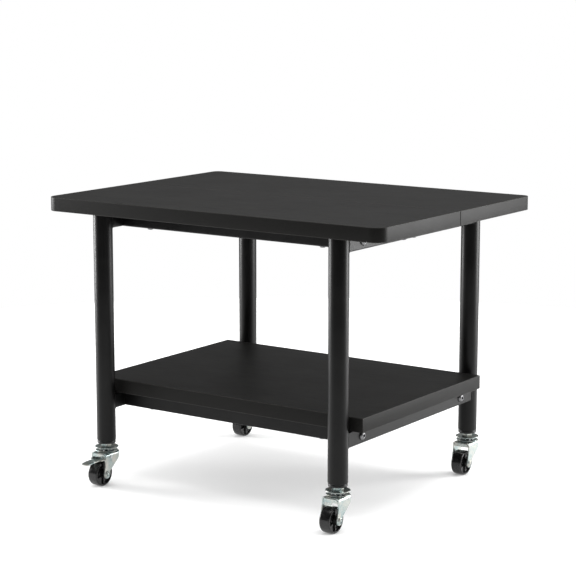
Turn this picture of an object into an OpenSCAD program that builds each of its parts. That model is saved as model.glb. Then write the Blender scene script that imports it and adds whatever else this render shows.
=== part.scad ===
// Mobile printer stand: a two-panel top and a lower shelf on a round-leg steel frame, with four
// swivel casters, the two left-hand ones with a brake.
// Origin: on the floor, at the middle of the whole outline seen from above, brake pedals included.
// +X runs along the length, -Y is the front, +Z is up.
// All sizes are in millimetres.

/* [Overall] */
// Height from the floor to the top surface
stand_h = 378; // [320:1:600]
// Length of the top, left to right
top_w = 512; // [420:1:900]
// Depth of the top, front to back
top_d = 370; // [300:1:600]

/* [Top panels] */
// Thickness of the top panels
top_t = 18; // [15:1:30]
// Radius of the two front corners
front_corner_r = 16; // [4:1:22]
// Radius of the two back corners
back_corner_r = 10; // [4:1:22]
// Thickness of the plastic edge band
band_t = 1; // [0.6:0.1:2]
// Diameter of the dowels that line up the two panels
dowel_d = 8; // [6:1:10]
// Length of a dowel
dowel_l = 40; // [20:1:60]
// Distance of the outer dowels from the leg centres, towards the middle
dowel_inset = 32; // [16:1:60]

/* [Shelf] */
// Height from the floor to the top of the shelf
shelf_top_z = 139; // [120:1:200]
// Thickness of the shelf board
shelf_t = 18; // [15:1:25]
// How far the shelf reaches beyond the leg centres at each end
shelf_overhang = 26; // [14:1:60]
// Gap between the shelf's long edges and the legs
shelf_leg_gap = 1.5; // [0.5:0.5:10]

/* [Frame] */
// Distance of the leg centres from the ends of the top
leg_inset_x = 74; // [45:1:110]
// Distance of the leg centres from the front and back of the top
leg_inset_y = 26; // [18:1:60]
// Outside diameter of the leg tube
leg_d = 25; // [24:1:32]
// Wall of the leg tube
leg_wall = 1.2; // [1:0.1:2]
// Outside size of the square rail tube
rail_s = 20; // [16:1:22]
// Wall of the rail tube
rail_wall = 1.2; // [1:0.1:1.6]
// Outside corner radius of the rail tube
rail_r = 2; // [2:0.5:3]
// Distance of the cross rails' centre lines from the leg centres
cross_inset = 38; // [30:1:60]

/* [Leg plugs] */
// Height of the plug that shows under the tube
plug_cap_h = 4.5; // [2:0.5:8]
// Depth of the plug inside the tube
plug_depth = 22; // [16:1:30]
// How much smaller the plug's cap is than the tube, on the radius
plug_step = 0.4; // [0.2:0.1:1]
// Rounding of the plug's lower edge
plug_round = 1; // [0.5:0.1:1.5]
// Wall of the threaded steel insert in the plug
insert_wall = 2; // [1.5:0.5:3]
// Length of the threaded insert
insert_l = 16; // [8:1:20]

/* [Fasteners] */
// Diameter of the rail bolts
bolt_d = 6; // [5:1:8]
// Length of a rail bolt under its head
bolt_l = 34; // [32:1:50]
// Diameter of a rail bolt's button head
bolt_head_d = 10.5; // [9:0.5:12]
// Height of a rail bolt's button head
bolt_head_h = 3.3; // [2.5:0.1:4]
// Size across flats of the bolt's hex socket
bolt_socket = 4; // [3:0.5:5]
// Depth of the bolt's hex socket
bolt_socket_depth = 2; // [1:0.5:2.5]
// Height of the upright edge around the domed heads of bolts, screws and axles
head_edge_h = 0.6; // [0.3:0.1:1]
// Radial clearance of a bolt or screw in its hole through a rail
hole_gap = 0.3; // [0.2:0.1:0.6]
// Length of the threaded block in each end of a cross rail
block_l = 12; // [8:1:20]
// Diameter of the board screws
screw_d = 4; // [3.5:0.5:5]
// Diameter of a board screw's pan head
screw_head_d = 8; // [7:0.5:10]
// Height of a board screw's pan head
screw_head_h = 2.6; // [2:0.1:3.5]
// Depth that the screws go into a board
screw_bite = 13; // [8:1:14]
// Distance of the cross rails' screws from the rails' ends
screw_inset = 38; // [25:1:60]
// Distance of the side rails' screws from the seam of the top
seam_screw_y = 12; // [8:1:30]

/* [Caster stem and swivel] */
// Diameter of the threaded stem
stem_d = 8; // [8:1:10]
// Length of the stem inside the leg
stem_in_leg = 18; // [12:1:20]
// Size across flats of the lock nut
nut_af = 13; // [13:0.5:17]
// Height of the lock nut
nut_h = 6.6; // [5:0.2:8]
// How far the nut's corners are rounded off at its two faces
nut_round = 0.4; // [0.2:0.1:0.6]
// Diameter of the dished washer over the balls
dish_d = 31; // [28:0.5:34]
// Diameter of the dished washer's flat floor
dish_floor_d = 19; // [18:0.5:22]
// Height of the dished washer's rim above its floor
dish_rise = 2; // [1:0.1:3]
// Thickness of the dished washer
dish_t = 1.2; // [1:0.1:2]
// Diameter of the bearing balls
ball_d = 2.2; // [1.8:0.1:3]
// Radius of the circle that the balls run on
ball_r = 8.3; // [7:0.1:9]
// Number of balls in each swivel
ball_n = 10; // [6:1:14]
// Diameter of the lower race ring
race_d = 29; // [26:0.5:30]
// Thickness of the lower race ring's floor
race_t = 0.8; // [0.6:0.1:1.4]
// Height of the lower race ring's rim
race_rim_h = 1.8; // [1:0.1:2.2]
// Thickness of the lower race ring's rim
race_rim_t = 1.2; // [0.8:0.1:1.6]
// Clearance between the turning parts of the swivel
swivel_gap = 0.3; // [0.3:0.1:0.6]
// Radial running clearance of stem, axle and brake pin
run_gap = 0.06; // [0.03:0.01:0.09]
// How far the stem's riveted lower end stands out around it
rivet_lip = 2; // [1.5:0.1:2.5]
// Thickness of the stem's riveted lower end
rivet_t = 1.2; // [1:0.1:1.4]

/* [Caster fork] */
// Thickness of the fork's sheet steel
fork_t = 1.8; // [1.4:0.1:2.4]
// Height of the fork's top face above the tread
fork_over = 10.9; // [10.8:0.1:14]
// Distance from the stem forward to the fork's front face
fork_front = 16; // [15:0.5:20]
// Radius of the fork plate's rounded back
fork_back_r = 16; // [15:0.5:20]
// Outside radius of the bends between plate and arms
fork_bend_r = 3; // [2.6:0.2:4]
// Depth of the lip at the fork's front
fork_lip_h = 6; // [3:0.5:6]
// Radius of the arms' lower ends
fork_tip_r = 5.7; // [5:0.1:7]
// Height of the straight part of the arms' back edge, below the fork's top
fork_back_h = 9; // [6:0.5:14]

/* [Caster wheel] */
// Wheel diameter
wheel_d = 33; // [27:0.5:33]
// Wheel width
wheel_w = 15; // [12:0.5:16]
// Distance of the axle behind the stem's axis, along the direction of trail
trail = 14; // [10:0.5:16]
// Space between the wheel and each fork arm
wheel_side_gap = 3.2; // [2.4:0.1:5]
// Rounding of the tread's edges
tread_r = 1.6; // [0.5:0.1:3]
// Width of the rim around the hub recess
rim_w = 2.6; // [2:0.1:4]
// Depth of the recess in each face of the wheel
recess = 3.4; // [1:0.1:5]
// Diameter of the wheel's hub
hub_d = 11; // [10:0.5:13]
// Diameter of the axle
axle_d = 6; // [5:0.5:6]
// Wall of the steel bush in the wheel
bush_wall = 1; // [0.8:0.1:1.5]
// Side clearance between hub and fork arms
hub_gap = 0.4; // [0.3:0.1:0.8]
// Diameter of the axle's heads
axle_head_d = 9; // [8:0.5:10]
// Height of the axle's heads
axle_head_h = 1.8; // [1:0.1:2.5]

/* [Brake] */
// Thickness of the pedal's sheet steel
pedal_t = 1.2; // [1:0.1:1.5]
// How far the pedal's tip reaches beyond the wheel
pedal_over = 14.5; // [10:0.5:25]
// Width of the pedal's tongue
pedal_tongue_w = 13; // [10:0.5:16]
// Height of the pedal's underside above the tread
pedal_lift = 1.6; // [1.4:0.1:2]
// Distance from the stem forward to the pedal's pin
pin_front = 6; // [5:0.5:7]
// Height of the pin above the pedal's underside
pin_lift = 4; // [3.6:0.1:4.2]
// Diameter of the pedal's pin
pin_d = 3; // [2:0.5:3]
// Diameter of the pin's flat heads
pin_head_d = 4.5; // [3.5:0.5:6]
// Thickness of the pin's flat heads
pin_head_t = 0.8; // [0.5:0.1:1.2]
// Radius of the pedal's ears around the pin
ear_r = 2.8; // [2.4:0.1:3]
// Side clearance between the pedal's ears and the fork arms
ear_gap = 0.5; // [0.4:0.1:1]

/* [Hidden] */
$fn = 64;
ROOM = 1;                                   // extra length of a cutting tool past a face
leg_x = top_w / 2 - leg_inset_x;
leg_y = top_d / 2 - leg_inset_y;
cross_y = leg_y - cross_inset;
cross_half = leg_x - rail_s / 2;
cross_screw_x = cross_half - screw_inset;

top_z = stand_h - top_t;                    // underside of the top panels
top_rail_z = top_z - rail_s;
shelf_z = shelf_top_z - shelf_t;
low_rail_z = shelf_z - rail_s;
shelf_w = 2 * (leg_x + shelf_overhang);
shelf_d = 2 * (leg_y - leg_d / 2 - shelf_leg_gap);

wheel_r = wheel_d / 2;
fork_z = wheel_d + fork_over;               // top face of the fork plate
fork_in = wheel_w / 2 + wheel_side_gap;     // half the space between the arms
fork_w = 2 * (fork_in + fork_t);
rivet_d = stem_d + 2 * rivet_lip;
insert_d = stem_d + 2 * insert_wall;
ball_z = fork_z + race_t + swivel_gap + ball_d / 2;
dish_z = ball_z + ball_d / 2;               // underside of the dished washer's floor
nut_z = dish_z + dish_t;
plug_z = nut_z + nut_h;                     // bottom of the leg plugs
leg_z = plug_z + plug_cap_h;
plug_r = leg_d / 2 - plug_step;
leg_bore_r = leg_d / 2 - leg_wall;
bush_r = axle_d / 2 + run_gap + bush_wall;
hub_half = fork_in - hub_gap;
pedal_z = wheel_d + pedal_lift;             // underside of the pedal
pin_z = pedal_z + pin_lift;
ear_x = fork_in - ear_gap;                  // outer faces of the pedal's ears
pedal_reach = trail + wheel_r + pedal_over; // from the stem forward to the pedal's tip
dowel_x = leg_x - dowel_inset;

// The pedals reach past the front of the top, so the outline's middle is in front of the top's.
front_reach = max(top_d / 2, leg_y + pedal_reach);
centre_y = (front_reach - top_d / 2) / 2;

STEEL_BLACK = [0.07, 0.07, 0.07];
BOARD_BLACK = [0.11, 0.11, 0.11];
BAND_BLACK = [0.15, 0.15, 0.15];
PLASTIC_BLACK = [0.04, 0.04, 0.04];
ZINC = [0.78, 0.82, 0.80];
BOLT_STEEL = [0.55, 0.56, 0.57];
BEECH = [0.80, 0.66, 0.46];

// ---- Places ----

// Moves the stand, drawn around the middle of its top, to the middle of its outline.
module centred() translate([0, centre_y, 0]) children();

module front_left() translate([-leg_x, -leg_y, 0]) children();
module front_right() translate([leg_x, -leg_y, 0]) children();
module back_left() translate([-leg_x, leg_y, 0]) children();
module back_right() translate([leg_x, leg_y, 0]) children();

module every_leg() {
  front_left() children();
  front_right() children();
  back_left() children();
  back_right() children();
}

// Turns a drawing in X and Y so that it lies in Y and Z, and extrudes it along X, centred.
module along_x(length) {
  rotate([90, 0, 90]) linear_extrude(length, center = true) children();
}

// Turns a drawing in X and Y so that it lies in X and Z, and extrudes it along Y, centred.
module along_y(length) {
  rotate([90, 0, 0]) linear_extrude(length, center = true) children();
}

module rod_x(r, length) rotate([0, 90, 0]) cylinder(r = r, h = length, center = true);

// ---- Boards ----

// A rectangle from y0 to y1 with its two corners on the y0 side rounded.
module board_outline(w, y0, y1, r) {
  side = y1 > y0 ? 1 : -1;
  depth = abs(y1 - y0);
  translate([0, y0]) facing_y(side) {
    translate([-w / 2 + r, 0]) square([w - 2 * r, depth]);
    translate([-w / 2, r]) square([w, depth - r]);
    for (x = [-1, 1]) translate([x * (w / 2 - r), r]) circle(r);
  }
}

// Turns a drawing that reaches towards +Y round to -Y where side is negative.
module facing_y(side) {
  if (side < 0) mirror([0, 1]) children();
  else children();
}

// One half of the top: side is -1 for the front panel and 1 for the back one.
module top_outline(side, inset) {
  r = side < 0 ? front_corner_r : back_corner_r;
  board_outline(top_w - 2 * inset, side * (top_d / 2 - inset), side * inset, r - inset);
}

module dowel_holes() {
  for (i = [-1:1]) translate([i * dowel_x, 0, top_z + top_t / 2]) dowel();
}

module dowel() rotate([90, 0, 0]) cylinder(d = dowel_d, h = dowel_l, center = true);

module top_panel(side) {
  color(BOARD_BLACK) difference() {
    translate([0, 0, top_z]) linear_extrude(top_t) top_outline(side, band_t);
    dowel_holes();
    top_screw_shanks();
  }
}

module top_band(side) {
  color(BAND_BLACK) difference() {
    translate([0, 0, top_z]) linear_extrude(top_t) difference() {
      top_outline(side, 0);
      top_outline(side, band_t);
    }
    dowel_holes();
  }
}

module panel_dowels() color(BEECH) dowel_holes();

module shelf_board() {
  color(BOARD_BLACK) difference() {
    translate([0, 0, shelf_z]) linear_extrude(shelf_t)
      square([shelf_w - 2 * band_t, shelf_d - 2 * band_t], center = true);
    shelf_screw_shanks();
  }
}

module shelf_band() {
  color(BAND_BLACK) translate([0, 0, shelf_z]) linear_extrude(shelf_t) difference() {
    square([shelf_w, shelf_d], center = true);
    square([shelf_w - 2 * band_t, shelf_d - 2 * band_t], center = true);
  }
}

// ---- Frame ----

module leg() {
  color(STEEL_BLACK) translate([0, 0, leg_z]) difference() {
    cylinder(d = leg_d, h = top_z - leg_z);
    translate([0, 0, -ROOM]) cylinder(r = leg_bore_r, h = top_z - leg_z + 2 * ROOM);
  }
}

module rounded_square(size, r) {
  square([size - 2 * r, size], center = true);
  square([size, size - 2 * r], center = true);
  for (x = [-1, 1], y = [-1, 1]) translate([x, y] * (size / 2 - r)) circle(r);
}

module rail_section() {
  difference() {
    rounded_square(rail_s, rail_r);
    rounded_square(rail_s - 2 * rail_wall, rail_r - rail_wall);
  }
}

// A side rail runs from leg to leg, with its ends shaped to the round tubes.
module side_rail(side, z) {
  color(STEEL_BLACK) difference() {
    translate([side * leg_x, 0, z + rail_s / 2]) along_y(2 * leg_y) rail_section();
    every_leg() translate([0, 0, z - ROOM]) cylinder(d = leg_d, h = rail_s + 2 * ROOM);
    for (y = [-1, 1]) translate([side * leg_x, y * cross_y, z + rail_s / 2])
      rod_x(bolt_d / 2 + hole_gap, rail_s + 2 * ROOM);
    if (z == top_rail_z) for (y = [-1, 1]) translate([side * leg_x, y * seam_screw_y, z - ROOM])
      cylinder(d = screw_d + 2 * hole_gap, h = rail_s + 2 * ROOM);
  }
}

module cross_rail(side, z) {
  color(STEEL_BLACK) translate([0, side * cross_y, z]) difference() {
    translate([0, 0, rail_s / 2]) along_x(2 * cross_half) rail_section();
    for (x = [-1, 1]) translate([x * cross_screw_x, 0, -ROOM])
      cylinder(d = screw_d + 2 * hole_gap, h = rail_s + 2 * ROOM);
  }
}

// Places its children, drawn at a cross rail's right-hand end, at all eight rail ends.
module every_rail_end() {
  for (x = [0, 1], y = [-1, 1], z = [top_rail_z, low_rail_z])
    mirror([x, 0, 0]) translate([cross_half, y * cross_y, z + rail_s / 2]) children();
}

// Threaded steel block welded into the end of a cross rail.
module rail_end_blocks() {
  color(BOLT_STEEL) every_rail_end() translate([-block_l / 2, 0, 0]) difference() {
    along_x(block_l) rounded_square(rail_s - 2 * rail_wall, rail_r - rail_wall);
    rod_x(bolt_d / 2, block_l + 2 * ROOM);
  }
}

// Round head with a low dome, standing on its flat side: edge_h is the upright part of its rim.
module domed_head(r, h, edge_h) {
  rise = h - edge_h;
  dome_r = (r * r + rise * rise) / (2 * rise);
  rotate_extrude() intersection() {
    square([r, h]);
    translate([0, h - dome_r]) circle(dome_r);
  }
}

// Button-head bolt: the head's underside is at x = 0 and its shank runs towards -X.
module button_bolt() {
  rotate([0, 90, 0]) {
    difference() {
      domed_head(bolt_head_d / 2, bolt_head_h, head_edge_h);
      translate([0, 0, bolt_head_h - bolt_socket_depth])
        cylinder(d = bolt_socket / cos(30), h = bolt_socket_depth + ROOM, $fn = 6);
    }
    translate([0, 0, -bolt_l]) cylinder(d = bolt_d, h = bolt_l);
  }
}

module rail_bolts() {
  color(BOLT_STEEL) every_rail_end() translate([rail_s, 0, 0]) button_bolt();
}

// ---- Board screws ----

module every_top_screw() {
  for (x = [-1, 1], y = [-1, 1]) {
    translate([x * cross_screw_x, y * cross_y, top_rail_z]) children();
    translate([x * leg_x, y * seam_screw_y, top_rail_z]) children();
  }
}

module every_shelf_screw() {
  for (x = [-1, 1], y = [-1, 1])
    translate([x * cross_screw_x, y * cross_y, low_rail_z]) children();
}

module screw_shank() cylinder(d = screw_d, h = rail_s + screw_bite);
module top_screw_shanks() every_top_screw() screw_shank();
module shelf_screw_shanks() every_shelf_screw() screw_shank();

// Pan-head screw from below, with a crossed recess in its domed head.
module board_screw() {
  slot_w = screw_d / 4;
  screw_shank();
  mirror([0, 0, 1]) difference() {
    domed_head(screw_head_d / 2, screw_head_h, head_edge_h);
    for (a = [0, 90]) rotate(a) translate([0, 0, screw_head_h])
      cube([screw_d, slot_w, screw_head_h], center = true);
  }
}

module top_screws() color(BOLT_STEEL) every_top_screw() board_screw();
module shelf_screws() color(BOLT_STEEL) every_shelf_screw() board_screw();

// ---- Leg ends ----

module leg_plug() {
  difference() {
    union() {
      translate([0, 0, plug_z]) rotate_extrude() {
        translate([0, plug_round]) square([plug_r, plug_cap_h - plug_round]);
        square([plug_r - plug_round, plug_cap_h]);
        translate([plug_r - plug_round, plug_round]) circle(plug_round);
      }
      translate([0, 0, leg_z]) cylinder(r = leg_bore_r, h = plug_depth);
    }
    translate([0, 0, plug_z - ROOM]) cylinder(d = stem_d, h = stem_in_leg + 2 * ROOM);
    translate([0, 0, plug_z + ROOM]) cylinder(d = insert_d, h = insert_l);
  }
}

module leg_plugs() color(PLASTIC_BLACK) every_leg() leg_plug();

module plug_inserts() {
  color(BOLT_STEEL) every_leg() translate([0, 0, plug_z + ROOM]) difference() {
    cylinder(d = insert_d, h = insert_l);
    translate([0, 0, -ROOM]) cylinder(d = stem_d, h = insert_l + 2 * ROOM);
  }
}

// ---- Caster: fixed pieces ----

module caster_lock_nuts() {
  corner_r = nut_af / (2 * cos(30));
  round_r = norm([corner_r - nut_round, nut_h / 2]);
  color(ZINC) every_leg() translate([0, 0, nut_z]) difference() {
    intersection() {
      cylinder(r = corner_r, h = nut_h, $fn = 6);
      translate([0, 0, nut_h / 2]) sphere(round_r);
    }
    translate([0, 0, -ROOM]) cylinder(d = stem_d, h = nut_h + 2 * ROOM);
  }
}

module stem() {
  rivet_z = fork_z - fork_t - swivel_gap - rivet_t;
  color(ZINC) {
    translate([0, 0, rivet_z]) cylinder(d = stem_d, h = plug_z + stem_in_leg - rivet_z);
    translate([0, 0, rivet_z]) cylinder(d = rivet_d, h = rivet_t);
  }
}

// Dished washer: a flat floor, a cone and a short upright rim.
module dish() {
  rim_r = dish_d / 2;
  floor_r = dish_floor_d / 2;
  color(ZINC) translate([0, 0, dish_z]) rotate_extrude() polygon([
    [stem_d / 2, 0], [floor_r, 0], [rim_r, dish_rise - dish_t / 2],
    [rim_r, dish_rise + dish_t], [rim_r - dish_t, dish_rise + dish_t],
    [floor_r - dish_t / 2, dish_t], [stem_d / 2, dish_t]
  ]);
}

module swivel_balls() {
  color(BOLT_STEEL) every_leg() for (i = [0:ball_n - 1])
    rotate(i * 360 / ball_n) translate([ball_r, 0, ball_z]) sphere(d = ball_d, $fn = 24);
}

// ---- Caster: swivelling pieces ----

// Lower race ring: a flat floor with an upright rim, riding on the fork.
module race() {
  bore_r = rivet_d / 2;
  color(ZINC) translate([0, 0, fork_z]) rotate_extrude() {
    translate([bore_r, 0]) square([race_d / 2 - bore_r, race_t]);
    translate([race_d / 2 - race_rim_t, 0]) square([race_rim_t, race_rim_h]);
  }
}

// Section of the fork across its width: plate and two arms bent from one sheet.
module fork_section() {
  half = fork_w / 2;
  bend_in = fork_bend_r - fork_t;
  difference() {
    union() {
      translate([-half, 0]) square([fork_w, fork_z - fork_bend_r]);
      translate([-half + fork_bend_r, 0]) square([fork_w - 2 * fork_bend_r, fork_z]);
      for (x = [-1, 1]) translate([x * (half - fork_bend_r), fork_z - fork_bend_r])
        circle(fork_bend_r);
    }
    translate([-fork_in, -ROOM]) square([2 * fork_in, fork_z - fork_bend_r + ROOM]);
    translate([-fork_in + bend_in, -ROOM])
      square([2 * (fork_in - bend_in), fork_z - fork_t + ROOM]);
    for (x = [-1, 1]) translate([x * (half - fork_bend_r), fork_z - fork_bend_r])
      circle(bend_in);
  }
}

// Side view of the fork: the arms narrow from the plate down to a round end at the axle.
module fork_side() {
  back_y = sqrt(fork_back_r * fork_back_r - fork_w * fork_w / 4);
  knee_z = fork_z - fork_back_h;
  translate([-trail, wheel_r]) circle(fork_tip_r);
  polygon([
    [-fork_front, fork_z], [fork_back_r, fork_z], [fork_back_r, fork_z - fork_t],
    [back_y, fork_z - fork_t], [back_y, knee_z],
    [-trail + fork_tip_r * cos(30), wheel_r + fork_tip_r * sin(30)],
    [-trail, wheel_r], [-trail - fork_tip_r, wheel_r], [-fork_front, knee_z]
  ]);
}

// Plan of the fork: straight front, round back.
module fork_plan() {
  front = fork_front + fork_tip_r;
  intersection() {
    translate([-fork_w / 2, -front]) square([fork_w, front + fork_back_r]);
    union() {
      circle(fork_back_r);
      translate([-fork_w / 2, -front]) square([fork_w, front]);
    }
  }
}

module fork(braked = false) {
  reach = 2 * (fork_back_r + fork_tip_r + trail);
  lip_z = fork_z - fork_lip_h;
  color(ZINC) difference() {
    union() {
      intersection() {
        along_y(reach) fork_section();
        along_x(fork_w) fork_side();
        linear_extrude(fork_z + ROOM) fork_plan();
      }
      translate([-fork_in - ROOM / 2, -fork_front, lip_z])
        cube([2 * fork_in + ROOM, fork_t, fork_lip_h - fork_t / 2]);
    }
    translate([0, 0, fork_z - fork_t - ROOM])
      cylinder(r = stem_d / 2 + run_gap, h = fork_t + 2 * ROOM);
    translate([0, -trail, wheel_r]) rod_x(axle_d / 2, fork_w + 2 * ROOM);
    if (braked) translate([0, -pin_front, pin_z]) rod_x(pin_d / 2, fork_w + 2 * ROOM);
  }
}

// Rivet through both arms, with a low dome on each end.
module axle() {
  color(ZINC) translate([0, -trail, wheel_r]) {
    rod_x(axle_d / 2, fork_w);
    for (x = [0, 1]) mirror([x, 0, 0]) translate([fork_w / 2, 0, 0]) rotate([0, 90, 0])
      domed_head(axle_head_d / 2, axle_head_h, head_edge_h);
  }
}

// ---- Caster: rolling pieces ----

// Half of the wheel's section, seen with the axle along Y: tread, recess, web and hub.
module wheel_section() {
  half = wheel_w / 2;
  difference() {
    union() {
      translate([0, -half + tread_r]) square([wheel_r, wheel_w - 2 * tread_r]);
      translate([0, -half]) square([wheel_r - tread_r, wheel_w]);
      for (y = [-1, 1]) translate([wheel_r - tread_r, y * (half - tread_r)]) circle(tread_r);
      translate([0, -hub_half]) square([hub_d / 2, 2 * hub_half]);
    }
    for (y = [0, 1]) mirror([0, y]) translate([hub_d / 2, half - recess])
      square([wheel_r - rim_w - hub_d / 2, recess + ROOM]);
    translate([-ROOM, -hub_half - ROOM]) square([bush_r + ROOM, 2 * (hub_half + ROOM)]);
    translate([-wheel_r - ROOM, -wheel_r]) square([wheel_r + ROOM, wheel_d]);
  }
}

module wheel() {
  color(PLASTIC_BLACK) translate([0, -trail, wheel_r]) rotate([0, 90, 0])
    rotate_extrude() wheel_section();
}

module bush() {
  color(BOLT_STEEL) translate([0, -trail, wheel_r]) difference() {
    rod_x(bush_r, 2 * hub_half);
    rod_x(axle_d / 2 + run_gap, 2 * (hub_half + ROOM));
  }
}

// ---- Brake ----

module pedal() {
  tongue_r = pedal_tongue_w / 4;
  back_y = -pin_front + ear_r - ear_gap;
  shoulder_y = -fork_front - fork_tip_r + ROOM;
  color(ZINC) difference() {
    union() {
      translate([0, 0, pedal_z]) linear_extrude(pedal_t) {
        translate([-ear_x, shoulder_y]) square([2 * ear_x, back_y - shoulder_y]);
        translate([-pedal_tongue_w / 2, -pedal_reach + tongue_r])
          square([pedal_tongue_w, pedal_reach - tongue_r + shoulder_y + ROOM]);
        translate([-pedal_tongue_w / 2 + tongue_r, -pedal_reach])
          square([pedal_tongue_w - 2 * tongue_r, pedal_reach / 2]);
        for (x = [-1, 1]) translate([x * (pedal_tongue_w / 2 - tongue_r), -pedal_reach + tongue_r])
          circle(tongue_r);
      }
      for (x = [-1, 1]) translate([x * (ear_x - pedal_t / 2), 0, 0]) along_x(pedal_t) {
        translate([-pin_front, pin_z]) circle(ear_r);
        translate([-pin_front - ear_r, pedal_z]) square([2 * ear_r - ear_gap, pin_lift]);
        translate([shoulder_y, pedal_z]) square([-shoulder_y - pin_front, 2 * pedal_t]);
      }
    }
    translate([0, -pin_front, pin_z]) rod_x(pin_d / 2 + run_gap, fork_w);
  }
}

module pedal_pin() {
  color(BOLT_STEEL) translate([0, -pin_front, pin_z]) {
    rod_x(pin_d / 2, fork_w);
    for (x = [-1, 1]) translate([x * (fork_w + pin_head_t) / 2, 0, 0])
      rod_x(pin_head_d / 2, pin_head_t);
  }
}

// ---- Nodes ----

centred() top_panel(-1);  // top_panel_front
centred() top_panel(1);  // top_panel_back
centred() top_band(-1);  // top_band_front
centred() top_band(1);  // top_band_back
centred() panel_dowels();
centred() shelf_board();
centred() shelf_band();
centred() front_left() leg();  // front_left_leg
centred() front_right() leg();  // front_right_leg
centred() back_left() leg();  // back_left_leg
centred() back_right() leg();  // back_right_leg
centred() side_rail(-1, top_rail_z);  // top_left_rail
centred() side_rail(1, top_rail_z);  // top_right_rail
centred() side_rail(-1, low_rail_z);  // lower_left_rail
centred() side_rail(1, low_rail_z);  // lower_right_rail
centred() cross_rail(-1, top_rail_z);  // top_front_rail
centred() cross_rail(1, top_rail_z);  // top_back_rail
centred() cross_rail(-1, low_rail_z);  // lower_front_rail
centred() cross_rail(1, low_rail_z);  // lower_back_rail
centred() rail_end_blocks();
centred() rail_bolts();
centred() top_screws();
centred() shelf_screws();
centred() leg_plugs();
centred() plug_inserts();
centred() caster_lock_nuts();
centred() swivel_balls();
centred() front_left() stem();  // front_left_stem
centred() front_right() stem();  // front_right_stem
centred() back_left() stem();  // back_left_stem
centred() back_right() stem();  // back_right_stem
centred() front_left() dish();  // front_left_dish
centred() front_right() dish();  // front_right_dish
centred() back_left() dish();  // back_left_dish
centred() back_right() dish();  // back_right_dish
centred() front_left() race();  // front_left_race
centred() front_right() race();  // front_right_race
centred() back_left() race();  // back_left_race
centred() back_right() race();  // back_right_race
centred() front_left() fork(braked = true);  // front_left_fork
centred() front_right() fork();  // front_right_fork
centred() back_left() fork(braked = true);  // back_left_fork
centred() back_right() fork();  // back_right_fork
centred() front_left() axle();  // front_left_axle
centred() front_right() axle();  // front_right_axle
centred() back_left() axle();  // back_left_axle
centred() back_right() axle();  // back_right_axle
centred() front_left() wheel();  // front_left_wheel
centred() front_right() wheel();  // front_right_wheel
centred() back_left() wheel();  // back_left_wheel
centred() back_right() wheel();  // back_right_wheel
centred() front_left() bush();  // front_left_bush
centred() front_right() bush();  // front_right_bush
centred() back_left() bush();  // back_left_bush
centred() back_right() bush();  // back_right_bush
centred() front_left() pedal();  // front_left_pedal
centred() back_left() pedal();  // back_left_pedal
centred() front_left() pedal_pin();  // front_left_pedal_pin
centred() back_left() pedal_pin();  // back_left_pedal_pin
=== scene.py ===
"""Looks of a mobile printer stand: boards, tube frame, fasteners and four swivel casters."""
import logging
import math
from collections.abc import Iterable, Mapping, Sequence
from dataclasses import dataclass, field
from enum import Enum
from typing import Any

import bmesh
import bpy
from mathutils import Matrix, Vector


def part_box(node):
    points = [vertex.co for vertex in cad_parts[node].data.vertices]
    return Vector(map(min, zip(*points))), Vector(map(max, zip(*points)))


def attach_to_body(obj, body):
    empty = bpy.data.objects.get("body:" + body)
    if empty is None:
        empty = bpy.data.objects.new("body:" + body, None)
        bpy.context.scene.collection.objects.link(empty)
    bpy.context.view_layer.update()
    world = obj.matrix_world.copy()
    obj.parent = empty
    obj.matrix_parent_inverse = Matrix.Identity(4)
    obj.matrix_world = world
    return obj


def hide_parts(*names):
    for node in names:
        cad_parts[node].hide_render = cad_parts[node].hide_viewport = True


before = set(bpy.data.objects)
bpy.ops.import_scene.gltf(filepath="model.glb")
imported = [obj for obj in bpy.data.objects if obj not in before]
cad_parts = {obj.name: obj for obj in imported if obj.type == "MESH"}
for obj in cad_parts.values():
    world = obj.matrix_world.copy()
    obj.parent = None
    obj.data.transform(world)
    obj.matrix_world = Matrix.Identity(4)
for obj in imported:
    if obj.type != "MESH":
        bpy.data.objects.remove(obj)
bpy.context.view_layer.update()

log = logging.getLogger("printer_stand")

MM = 0.001
STAND = "stand"
WELD_MM = 1e-4           # points closer than this, in millimetres, are one point
Point2 = tuple[float, float]
Point3 = tuple[float, float, float]
Line = tuple[float, float, float, float]
Mesh3 = tuple[list[Vector], list[tuple[int, ...]]]


# ---------------------------------------------------------------- node trees


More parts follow.
